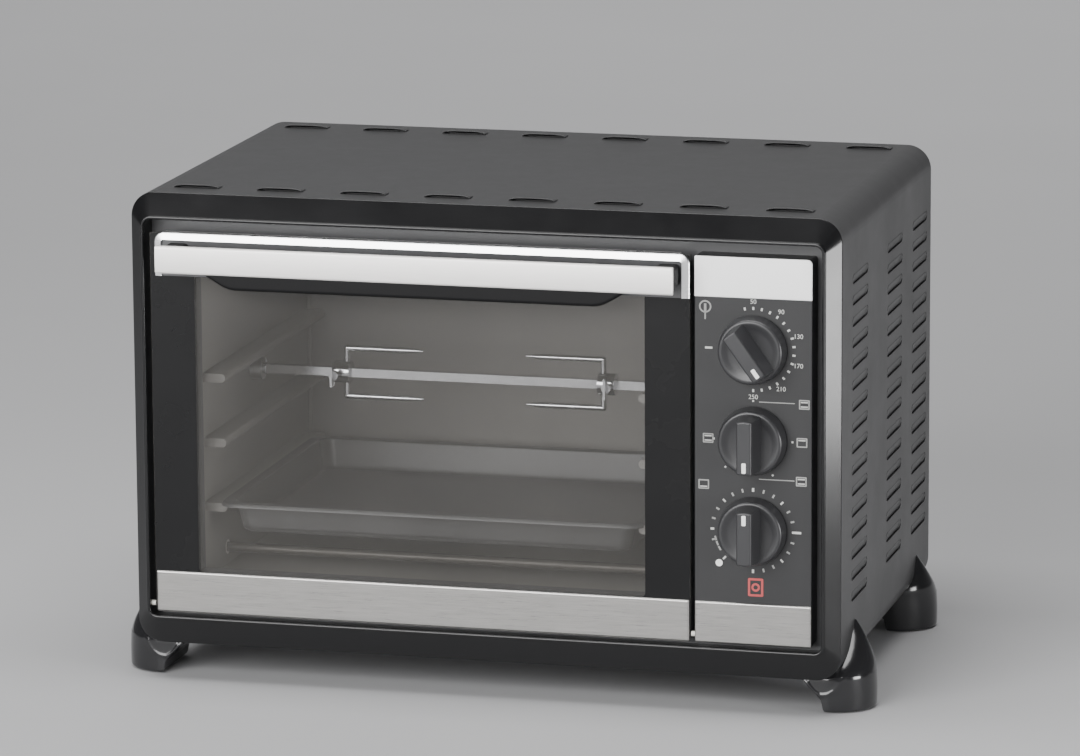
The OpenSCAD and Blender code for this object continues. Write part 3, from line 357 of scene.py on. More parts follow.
PRINT_PALE = Finish("print_pale", "panel_paint", (0.3, 0.3, 0.29), 0.5, mottle=0.1)
PRINT_RED = Finish("print_red", "panel_paint", (0.45, 0.06, 0.06), 0.5, mottle=0.1)
PRINT_BLACK = Finish("print_black", "door_glass", (0.006, 0.006, 0.0065), 0.26, specular=0.22,
                     grain=Grain.NONE, mottle=0.03)
POINTER = Finish("pointer_white", "knob_plastic", (0.9, 0.9, 0.88), 0.4, mottle=0.03)
GLASS = GlassFinish("door_glass", "door_glass", (0.105, 0.101, 0.094), 0.22)

SLOT_FINISHES = {
    finish.slot: finish
    for finish in (HOUSING, BEZEL, ENAMEL, FOOT, RUBBER, CAVITY, ELEMENT, CERAMIC, PANEL, STEEL, CHROME,
                   CONTROL, DARK, COPPER, PLATED, SPIT, KNOB, TRAY, GLASS)
}


# ---- surfaces ----


@dataclass(frozen=True)
class Box:
    """A node's lowest and highest corners."""

    low: Array
    high: Array

    @classmethod
    def of(cls, node: str) -> "Box":
        """The box of a node of the frame."""
        low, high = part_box(node)
        return cls(np.array(low), np.array(high))

    @property
    def middle(self) -> Array:
        """The box's middle point."""
        return (self.low + self.high) / 2

    @property
    def size(self) -> Array:
        """The box's three lengths."""
        return self.high - self.low

    @property
    def front(self) -> tuple[Pair, Pair]:
        """The low and the high corner of the box's front, in X and Z."""
        return (self.low[0], self.low[2]), (self.high[0], self.high[2])


def corner_ring(low: Pair, high: Pair, radii: Quad, steps: int = 8) -> Array:
    """Points around a rectangle whose corners are quarter circles.

    A corner's points are its centre plus its radius times (cos t, sin t), where t
    runs a quarter turn, so rings with the same steps join point to point.

    Args:
        low: The rectangle's low corner.
        high: The rectangle's high corner.
        radii: Radii of the high-high, low-high, low-low and high-low corners.
        steps: Segments along each corner.

    Returns:
        The ring's points, two columns.
    """
    t = np.linspace(0, QUARTER, steps + 1)
    corners = ((high[0], high[1], -1, -1), (low[0], high[1], 1, -1),
               (low[0], low[1], 1, 1), (high[0], low[1], -1, 1))
    arcs = []
    for turn, ((x, z, into_x, into_z), radius) in enumerate(zip(corners, radii)):
        angle = t + turn * QUARTER
        centre = np.array([x + into_x * radius, z + into_z * radius])
        arcs.append(centre + radius * np.stack([np.cos(angle), np.sin(angle)], 1))
    return np.concatenate(arcs)


def at_x(ring: Array, x: float) -> Array:
    """Places a ring of Y and Z values in space at a distance x."""
    return np.stack([np.full(len(ring), x), ring[:, 0], ring[:, 1]], 1)


def at_y(ring: Array, y: float) -> Array:
    """Places a ring of X and Z values in space at a depth y."""
    return np.stack([ring[:, 0], np.full(len(ring), y), ring[:, 1]], 1)


def at_z(ring: Array, z: float) -> Array:
    """Places a ring of X and Y values in space at a height z."""
    return np.stack([ring[:, 0], ring[:, 1], np.full(len(ring), z)], 1)


def lathe(profile: Array, steps: int = 64) -> Array:
    """Turns a profile around its axis.

    A point is (r cos t, h, r sin t) for the profile's radius r and height h and
    the turn's angle t, which runs one whole turn and leaves out its end.

    Args:
        profile: Radius and height of each point.
        steps: Segments around the axis.

    Returns:
        A grid of points, profile by turn.
    """
    t = np.linspace(0, TURN, steps, endpoint=False)
    radius = profile[:, :1]
    height = np.broadcast_to(profile[:, 1:], (len(profile), steps))
    return np.stack([radius * np.cos(t), height, radius * np.sin(t)], 2)


def pillow(low: Pair, high: Pair, front: float, back: float, edge: float, radii: Quad,
           crown: float = 0.0, steps: int = 5) -> Array:
    """Rings of a plate that faces -Y, from its back rim over a round edge to its middle.

    On the edge the ring moves in by edge (1 - cos t) and forward by edge sin t. On
    the face it moves in nearly to the middle line and forward by crown times
    1 - (1 - s)^2, where s is the share of the way in.

    Args:
        low: Low corner in X and Z.
        high: High corner in X and Z.
        front: Y of the face at its edge.
        back: Y of the back.
        edge: Radius of the round edge.
        radii: Corner radii, as for corner_ring.
        crown: How far the face bulges at its middle line.
        steps: Segments over the edge and over the face.

    Returns:
        A grid of rings.
    """
    t = np.linspace(0, QUARTER, steps + 1)
    reach = min(high[0] - low[0], high[1] - low[1]) / 2 - edge
    nearly_closed = 0.98
    share = np.linspace(0, 1, steps + 1)[1:] * nearly_closed
    inset = np.concatenate([[0.0], edge * (1 - np.cos(t)), edge + reach * share])
    depth = np.concatenate([[back], front + edge * (1 - np.sin(t)), front - crown * (1 - (1 - share) ** 2)])
    rings = []
    for d, y in zip(inset, depth):
        inner = tuple(max(r - d, SHARP) for r in radii)
        ring = corner_ring((low[0] + d, low[1] + d), (high[0] - d, high[1] - d), inner)
        rings.append(at_y(ring, y))
    return np.stack(rings)


@dataclass
class Skin:
    """The vertices and faces of one piece, gathered from grids, caps, lofts and blocks."""

    points: list[Array] = field(default_factory=list)
    faces: list[list[int]] = field(default_factory=list)
    count: int = 0

    def put(self, points: Array) -> int:
        """Keeps some vertices.

        Args:
            points: The vertices, with X, Y and Z last.

        Returns:
            The index of the first one.
        """
        first = self.count
        self.points.append(points.reshape(-1, 3))
        self.count += len(self.points[-1])
        return first

    def grid(self, points: Array, close_rows: bool = False, close_columns: bool = False) -> "Skin":
        """Adds a sheet of four-sided faces over a grid of points.

        Args:
            points: Rows by columns by three.
            close_rows: Join the last row to the first one.
            close_columns: Join the last column to the first one.

        Returns:
            The skin itself.
        """
        rows, columns = points.shape[:2]
        first = self.put(points)
        r = np.arange(rows if close_rows else rows - 1)[:, None]
        c = np.arange(columns if close_columns else columns - 1)[None, :]
        up, across = (r + 1) % rows, (c + 1) % columns
        corners = [r * columns + c, r * columns + across, up * columns + across, up * columns + c]
        self.faces += (first + np.stack(np.broadcast_arrays(*corners), 2).reshape(-1, 4)).tolist()
        return self

    def cap(self, ring: Array) -> "Skin":
        """Adds one flat face over a ring of points.

        Args:
            ring: The points in order.

        Returns:
            The skin itself.
        """
        first = self.put(ring)
        self.faces.append(list(range(first, first + len(ring))))
        return self

    def loft(self, rings: Array) -> "Skin":
        """Adds a closed tube through a stack of rings, with a cap on each end."""
        self.grid(rings, close_columns=True)
        return self.cap(rings[0]).cap(rings[-1])

    def slab(self, low: Array, high: Array) -> "Skin":
        """Adds a plain block, for details too small to need round edges."""
        ring = corner_ring((low[0], low[2]), (high[0], high[2]), (SHARP / 2,) * 4, 1)
        return self.loft(np.stack([at_y(ring, low[1]), at_y(ring, high[1])]))

    def build(self, name: str, finish: Finish, body: str, replaces: tuple[str, ...] = (),
              crease: float = 32.0, closed: bool = True) -> bpy.types.Object:
        """Makes the object: welds it, turns its faces out, shades it and sets it on its body.

        Args:
            name: The piece's name.
            finish: Its finish.
            body: The body that it rides on.
            replaces: Nodes of the frame that it stands for.
            crease: Angle in degrees over which an edge stays sharp.
            closed: Whether the surface is a closed shell.

        Returns:
            The object.
        """
        mesh = bpy.data.meshes.new(name)
        mesh.from_pydata(np.concatenate(self.points).tolist(), [], self.faces)
        work = bmesh.new()
        work.from_mesh(mesh)
        bmesh.ops.remove_doubles(work, verts=work.verts, dist=WELD)
        bmesh.ops.dissolve_degenerate(work, edges=work.edges, dist=WELD)
        if closed:
            bmesh.ops.recalc_face_normals(work, faces=work.faces)
        work.to_mesh(mesh)
        work.free()
        mesh.polygons.foreach_set("use_smooth", np.ones(len(mesh.polygons), bool))
        mesh.set_sharp_from_angle(angle=math.radians(crease))
        mesh.materials.append(finish.material())
        piece = bpy.data.objects.new(name, mesh)
        bpy.context.scene.collection.objects.link(piece)
        weighted = piece.modifiers.new("even_shading", "WEIGHTED_NORMAL")
        weighted.keep_sharp = True
        if replaces:
            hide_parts(*replaces)
        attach(piece, body)
        log.info("%s on %s: %d faces", name, body, len(mesh.polygons))
        return piece


# ---- housing ----


class Side(Enum):
    """A side of the housing, with the sign of its X."""

    LEFT = -1
    RIGHT = 1


class End(Enum):
    """An end of the housing."""

    FRONT = "front"
    REAR = "rear"


@dataclass
class Bezel:
    """The moulded frame around the door and the panel: a wide chamfer up to a narrow lip.

    The shoulder's pairs are inset and step forward of the small round from the wrap's
    front to the chamfer, and the chamfer's shares are where its rings lie.
    """

    sheet: float = 0.8 * MM
    corner: float = 17 * MM
    side: float = 9 * MM
    top: float = 14.7 * MM
    bottom: float = 18.4 * MM
    lip: float = 2.5 * MM
    lip_corner: float = 7.5 * MM
    lip_depth: float = 2 * MM
    undercut: float = 2.5 * MM
    undercut_edge: float = 0.1 * MM
    edge: float = 1.1 * MM
    collar_corner: float = 16 * MM
    shoulder: tuple[Pair, ...] = ((0.0, 0.3 * MM), (0.12 * MM, 0.65 * MM), (0.45 * MM, 1.0 * MM))
    chamfer: tuple[float, ...] = (0.4, 0.7, 0.9, 1.0)

    def ring(self, box: Box, share: float, radius: float, y: float, grow: float = 0.0,
             low: float = 0.0) -> Array:
        """One ring of the bezel between the wrap's outline and the lip's.

        Args:
            box: The bezel's box.
            share: 0 at the wrap's outline and 1 at the lip's.
            radius: Corner radius.
            y: Depth of the ring.
            grow: Amount that the ring moves in evenly.
            low: Amount that its lower side moves down.

        Returns:
            The ring's points.
        """
        side = share * self.side + grow
        top = share * self.top + grow
        bottom = share * self.bottom + grow
        low_corner = (box.low[0] + side, box.low[2] + bottom - low)
        high_corner = (box.high[0] - side, box.high[2] - top)
        return at_y(corner_ring(low_corner, high_corner, (radius,) * 4, 12), y)

    def rings(self, box: Box, wrap_front: float) -> Array:
        """All rings, from the collar inside the wrap, over the chamfer and the lip, back inside.

        The chamfer runs straight from the shoulder to the lip's root. The lip's two
        edges are quarter circles: in by edge (1 - cos a) and back by edge (1 - sin a).

        Args:
            box: The bezel's box.
            wrap_front: Y of the wrap's front edge.

        Returns:
            A grid of rings.
        """
        front, back = box.low[1], box.high[1]
        rings = [self.ring(box, 0, self.collar_corner, y, self.sheet) for y in (back, wrap_front)]
        rings.append(self.ring(box, 0, self.corner, wrap_front, SHARP))
        root = front + self.lip_depth
        for inset, step in self.shoulder:
            rings.append(self.ring(box, inset / self.side, self.corner - inset, wrap_front - step))
        start_in, start_step = self.shoulder[-1]
        for share in self.chamfer:
            inset = start_in + (self.side - start_in) * share
            y = wrap_front - start_step + (root - wrap_front + start_step) * share
            radius = self.corner + (self.lip_corner - self.corner) * share
            rings.append(self.ring(box, inset / self.side, radius, y))
        t = np.linspace(0, QUARTER, 5)
        steps_in, steps_back = self.edge * (1 - np.cos(t)), self.edge * (1 - np.sin(t))
        for step, depth in zip(steps_in, steps_back):
            rings.append(self.ring(box, 1, self.lip_corner - step, front + depth, step))
        inner = self.lip_corner - self.lip
        for step, depth in zip(steps_in[::-1], steps_back[::-1]):
            rings.append(self.ring(box, 1, inner + step, front + depth, self.lip - step))
        rings.append(self.ring(box, 1, inner, front + self.undercut - self.undercut_edge, self.lip))
        rings.append(self.ring(box, 1, inner, front + self.undercut, self.lip, self.undercut))
        rings.append(self.ring(box, 1, inner, back, self.lip, self.undercut))
        return np.stack(rings)

    def build(self) -> None:
        """Makes the bezel as one closed loft of its rings."""
        box = Box.of("front_bezel")
        rings = self.rings(box, Box.of("housing_wrap").low[1])
        Skin().grid(rings, True, True).build("bezel_shell", BEZEL, "housing", ("front_bezel",), 40)


@dataclass
class Louvres:
    """Scoops pressed into the side slots and hoods pressed up over the top slots.

    As shares of the sheet's thickness, wall_share is that of the scoops and hoods, and
    sink_share is how deep the scoops' rims lie in the wrap.
    """

    length: float = 50 * MM
    height: float = 7 * MM
    depth: float = 1.3 * MM
    pitch: float = 14.4 * MM
    front: float = 33 * MM
    rear: float = 14 * MM
    top: float = 46.7 * MM
    bottom: float = 42 * MM
    hood_length: float = 31 * MM
    hood_width: float = 9 * MM
    hood_height: float = 1.8 * MM
    vent_pitch: float = 58.6 * MM
    vent_count: int = 8
    vent_edge: float = 22 * MM
    hood_lead: float = 2.7 * MM
    middle_lead: float = 1 * MM
    sheet: float = 0.8 * MM
    wall_share: float = 0.6
    sink_share: float = 0.2

    def scoop(self) -> Array:
        """One scoop around its middle.

        The outline is a slot with round ends. The depth grows from nothing at the
        upper edge to full at the lower one as sin of a quarter turn, and falls off
        at the ends as 1 minus the eighth power of the share along.

        Returns:
            A grid of inward depth, place along and height.
        """
        a = np.linspace(-1, 1, 17)[:, None]
        b = np.linspace(0, 1, 6)[None, :]
        half = self.height / 2
        over = np.clip(np.abs(a) * self.length / 2 - (self.length / 2 - half), 0, half)
        rise = np.sqrt(np.maximum(half ** 2 - over ** 2, 0))
        depth = self.depth * np.sin(b * QUARTER) * (1 - np.abs(a) ** 8)
        return np.stack(np.broadcast_arrays(depth, a * self.length / 2, rise * (1 - 2 * b)), 2)

    def places(self, box: Box) -> list[Pair]:
        """Works out the middles of the side slots, in three columns.

        Args:
            box: The wrap's box.

        Returns:
            Y and Z of each slot.
        """
        rows = math.floor((box.size[2] - self.top - self.bottom) / self.pitch) + 1
        starts = (self.front, box.size[1] / 2 - self.middle_lead, box.size[1] - self.rear - self.length)
        return [(box.low[1] + s + self.length / 2, box.high[2] - self.top - r * self.pitch)
                for r in range(rows) for s in starts]

    def make_sheet(self, skin: Skin, name: str, offset: float) -> None:
        """Makes an open surface into pressed sheet metal.

        Args:
            skin: The surface.
            name: The piece's name.
            offset: Side that the thickness goes to: -1 inwards, 0 both ways.
        """
        piece = skin.build(name, HOUSING, "housing", closed=False)
        wall = piece.modifiers.new("wall", "SOLIDIFY")
        wall.thickness = self.sheet * self.wall_share
        wall.offset = offset

    def build_side(self, side: Side) -> None:
        """Makes the scoops of one side.

        Args:
            side: The side of the housing.
        """
        box = Box.of("housing_wrap")
        scoop, skin = self.scoop(), Skin()
        face = box.high[0] if side is Side.RIGHT else box.low[0]
        x = face - side.value * (scoop[..., 0] + self.sheet * self.sink_share)
        for y, z in self.places(box):
            skin.grid(np.stack([x, y + scoop[..., 1], z + scoop[..., 2]], 2))
        self.make_sheet(skin, "louvre_scoops_" + side.name.lower(), 0.0)

    def hood(self) -> Array:
        """One hood from the middle of its open front edge.

        Along the hood the height follows sqrt(1 - a^4), which gives it blunt ends,
        and from front to back it falls as cos of a quarter turn.

        Returns:
            A grid of place across, place back and height.
        """
        a = np.sin(np.linspace(-QUARTER, QUARTER, 19))[:, None]
        b = np.linspace(0, 1, 7)[None, :]
        up = self.hood_height * np.sqrt(1 - a ** 4) * np.cos(b * QUARTER)
        return np.stack(np.broadcast_arrays(a * self.hood_length / 2, b * self.hood_width, up), 2)

    def build_top(self) -> None:
        """Makes the hoods over both rows of top slots."""
        box = Box.of("housing_wrap")
        hood, skin = self.hood(), Skin()
        for i in range(self.vent_count):
            x = (i - (self.vent_count - 1) / 2) * self.vent_pitch
            for y in (box.low[1] + self.vent_edge, box.high[1] - self.vent_edge):
                skin.grid(np.array([x, y - self.hood_lead, box.high[2]]) + hood)
        self.make_sheet(skin, "top_vent_hoods", -1.0)

    def build(self) -> None:
        """Makes the scoops of both sides and the hoods of the top."""
        for side in Side:
            self.build_side(side)
        self.build_top()


@dataclass
class Foot:
    """A glossy claw: upright under the pan and domed into a cheek up the wrap's round edge.

    The levels go up the claw, in millimetres: height, inner side and outer end from
    the wrap's side, shift of the middle to the back, and half length. The ridge lines
    are raised lines across its front, in the same X and Z.
    """

    end: End
    side: Side
    move_in: float = 4 * MM
    middle: float = 35 * MM
    inside: float = 13.5 * MM
    wrap_corner: float = 17 * MM
    bury: float = 0.3 * MM
    toe_edge: float = 1.5 * MM
    seam: float = 0.05 * MM
    ease: int = 7
    ridge: float = 0.6 * MM
    ridge_width: float = 1.3 * MM
    ridge_reach: float = 12 * MM
    ridge_fade: float = 6 * MM
    levels: tuple[tuple[float, float, float, float, float], ...] = (
        (1.0, -13.5, 17.0, 0.0, 27.0), (8.8, -15.2, 17.2, 0.0, 27.0), (15.0, -20.1, 17.2, 0.0, 27.0),
        (24.3, -30.0, 16.7, 0.0, 27.0), (31.4, -30.0, 15.4, 2.9, 24.3), (37.8, -30.0, 12.6, 4.8, 18.4),
        (44.2, -30.0, 9.5, 6.7, 12.2), (50.6, -30.0, 5.6, 8.6, 7.0), (57.0, -30.0, 1.0, 9.5, 2.7))
    ridge_lines: tuple[tuple[Pair, ...], ...] = (
        ((-0.5, 25.5), (-2.5, 20.5), (-6.0, 16.0), (-11.0, 13.0), (-16.0, 12.5),
         (-20.5, 15.5), (-25.0, 21.0)),
        ((-11.0, 12.5), (-10.0, 2.5)))

    def wall(self, up: float) -> float:
        """Place of the wrap's side at a height over its lower edge.

        Below the corner's radius r the wall lies in by r - sqrt(r^2 - (r - up)^2).

        Args:
            up: Height over the wrap's lower edge.

        Returns:
            Place in X from the wrap's flat side, outwards.
        """
        r = self.wrap_corner
        drop = min(max(r - up, 0), r)
        return math.sqrt(r ** 2 - drop ** 2) - r

    def profile(self, foot: float) -> Array:
        """Level by level: height, inner side, outer end, shift of the middle and half length.

        Between the claw's own levels the values are eased by a moving average, and
        the toe's lower edge is a quarter circle.

        Args:
            foot: Height of the wrap's lower edge.

        Returns:
            Five columns, one row per level.
        """
        keys = np.array(self.levels) * MM
        under = np.linspace(keys[0, 0], foot - self.seam, 30)
        over = np.linspace(foot, keys[-1, 0], 34)
        z = np.concatenate([under, over])
        rows = np.stack([z] + [np.interp(z, keys[:, 0], keys[:, k]) for k in range(1, 5)], 1)
        half = self.ease // 2
        for k in (2, 3, 4):
            before = rows[:1, k].repeat(half)
            after = 2 * rows[-1, k] - rows[-half - 1:-1, k][::-1]
            padded = np.concatenate([before, rows[:, k], after])
            rows[:, k] = np.convolve(padded, np.ones(self.ease) / self.ease, "valid")
        t = np.linspace(0, QUARTER, 6)
        toe = rows[0] + np.outer(self.toe_edge * (1 - np.cos(t)), [1, 0, 0, 0, 0])
        inset = self.toe_edge * (1 - np.sin(t))
        toe[:, 1] += inset
        toe[:, 2] -= inset
        toe[:, 4] -= inset
        return np.concatenate([toe, rows[rows[:, 0] > toe[-1, 0]]])

    def ring(self, level: Array, foot: float) -> Array:
        """One level of the claw: a straight inner side, flat ends and half an ellipse outside.

        The ellipse's points are (root + (out - root) cos a, middle + half sin a), for
        the angles a where it stands clear of the wrap.

        Args:
            level: One row of the profile.
            foot: Height of the wrap's lower edge.

        Returns:
            The ring's points in X and Y, from the wrap's flat side and its end.
        """
        z, inner, out, shift, half = level
        if z >= foot:
            inner = self.wall(z - foot) - self.bury
        root = max(inner, -self.inside) if z < foot else -self.inside
        start = max(root, inner)
        limit = math.acos(min(max((start - root) / (out - root), 0.0), 1.0))
        a = np.linspace(-limit, limit, 61)
        middle = self.middle + shift
        arc = np.stack([root + (out - root) * np.cos(a), middle + half * np.sin(a)], 1)
        end = half * math.sin(limit)
        front = np.stack([np.linspace(inner, start, 20)[:-1], np.full(19, middle - end)], 1)
        back = np.stack([np.linspace(start, inner, 20)[1:], np.full(19, middle + end)], 1)
        side = np.stack([np.full(7, inner), np.linspace(middle + end, middle - end, 9)[1:-1]], 1)
        return np.concatenate([front, arc, back, side])

    def relief(self, grid: Array) -> Array:
        """Height of the raised lines on the claw's front.

        By the distance d to the nearest line it is ridge times exp(-(d / width)^2),
        and it fades out from the claw's front to its middle.

        Args:
            grid: The claw's points.

        Returns:
            A height for each point.
        """
        spot = grid[..., [0, 2]]
        best = np.zeros(spot.shape[:-1])
        for line in self.ridge_lines:
            points = np.array(line) * MM
            for start, end in zip(points[:-1], points[1:]):
                along = end - start
                share = np.clip(((spot - start) @ along) / (along @ along), 0, 1)[..., None]
                distance = np.linalg.norm(spot - start - share * along, axis=-1)
                best = np.maximum(best, np.exp(-(distance / self.ridge_width) ** 2))
        front = np.clip((self.middle - self.ridge_reach - grid[..., 1]) / self.ridge_fade, 0, 1)
        return self.ridge * best * front

    def build(self) -> None:
        """Lofts the claw for the front right corner and mirrors it to its own corner."""
        wrap = Box.of("housing_wrap")
        foot = wrap.low[2]
        grid = np.stack([at_z(self.ring(level, foot), level[0]) for level in self.profile(foot)])
        if self.end is End.FRONT:
            grid[..., 1] -= self.relief(grid)
            grid[..., 0] += wrap.size[0] / 2
            grid[..., 1] = wrap.low[1] + grid[..., 1]
        else:
            grid[..., 0] += wrap.size[0] / 2 - self.move_in
            grid[..., 1] = wrap.high[1] - grid[..., 1]
        grid[..., 0] *= self.side.value
        name = f"foot_{self.end.value}_{self.side.name.lower()}"
        Skin().loft(grid).build(name + "_shell", FOOT, "housing", (name,), 50)


@dataclass
class RearScrews:
    """Pan-head screws with a cross recess, which hold the rear panel."""

    head: float = 3.5 * MM
    height: float = 2 * MM
    seat: float = 0.3 * MM
    blunt: float = 0.8
    inset: float = 5.8 * MM
    low: float = 30 * MM
    high: float = 40 * MM
    slot_reach: float = 1.7 * MM
    slot_half: float = 0.35 * MM
    slot_rise: float = 0.05 * MM

    def dome(self) -> Array:
        """The head's profile: radius head cos t and height (sin t)^blunt over a short wall.

        Returns:
            Radius and height of each point.
        """
        t = np.linspace(0, QUARTER, 6)
        curve = np.stack([self.head * np.cos(t), self.height * np.sin(t) ** self.blunt], 1)
        return np.concatenate([[[self.head, -self.seat]], curve[:-1], [[SHARP, self.height]]])

    def build(self) -> None:
        """Makes the four heads, and on each a dark cross of painted shade that stands for its recess."""
        wrap = Box.of("housing_wrap")
        head = lathe(self.dome(), 28)
        heads, slots = Skin(), Skin()
        for side in Side:
            for z in (wrap.low[2] + self.low, wrap.high[2] - self.high):
                x = side.value * (wrap.size[0] / 2 - self.inset)
                place = np.array([x, wrap.high[1], z])
                heads.loft(place + head)
                spot = place + np.array([0, self.height, 0])
                # Painted shade: each cross recess is two thin dark slabs on top of the head, not a hollow.
                for wide, high in ((self.slot_reach, self.slot_half), (self.slot_half, self.slot_reach)):
                    reach = np.array([wide, self.slot_rise, high])
                    slots.slab(spot - reach, spot + reach)
        heads.build("rear_screw_heads", PLATED, "housing", ("housing_screws",))
        slots.build("rear_screw_recesses", RUBBER, "housing")


# ---- control panel ----


@dataclass
class ControlPanel:
    """The painted panel with the bare plate over it and the brushed strip under it."""

    face_inset: float = 0.5 * MM
    corner: float = 2 * MM
    edge: float = 0.6 * MM
    plate_edge: float = 0.5 * MM
    plate_corners: Quad = (3.2 * MM, 1 * MM, 0.4 * MM, 0.4 * MM)
    plate_crown: float = 0.15 * MM
    strip_edge: float = 1.3 * MM
    strip_corner: float = 0.8 * MM
    strip_lead: float = 0.3 * MM

    def build_panel(self) -> None:
        """Makes the panel's face between the plate and the strip, and its sides."""
        box = Box.of("control_panel")
        face = box.low[1] + self.face_inset
        rings = pillow(*box.front, face, box.high[1], self.edge, (self.corner,) * 4)
        Skin().loft(rings).build("panel_shell", PANEL, "housing", ("control_panel",))

    def build_plate(self) -> None:
        """Makes the bare bright plate, a little crowned, with its large corner at the bezel. Its near-white
        colour is a painted highlight.
        """
        box = Box.of("nameplate")
        rings = pillow(*box.front, box.low[1], box.high[1], self.plate_edge, self.plate_corners,
                       self.plate_crown)
        Skin().loft(rings).build("bare_plate", PLATE, "housing", ("nameplate",))

    def build_strip(self) -> None:
        """Makes the brushed strip, in line with the door's own strip."""
        box = Box.of("panel_trim_strip")
        face = box.low[1] - self.strip_lead
        rings = pillow(*box.front, face, box.high[1], self.strip_edge, (self.strip_corner,) * 4)
        Skin().loft(rings).build("panel_strip", STEEL, "housing", ("panel_trim_strip",))

    def build(self) -> None:
        """Makes the panel, its plate and its strip."""
        self.build_panel()
        self.build_plate()
        self.build_strip()


@dataclass(frozen=True)
class Bar:
    """A printed radial bar: its inner and its outer radius and its width."""

    start: float
    end: float
    width: float


class Heat(Enum):
    """The heat that a mark stands for, with the rows of its bars: -1 below and 1 above."""

    BOTH = (-1, 1)
    LOWER = (-1,)
    UPPER = (1,)


@dataclass(frozen=True)
class HeatMark:
    """A position of the function knob: its angle, its heat and its mark's place."""

    angle: float
    heat: Heat
    place: Pair


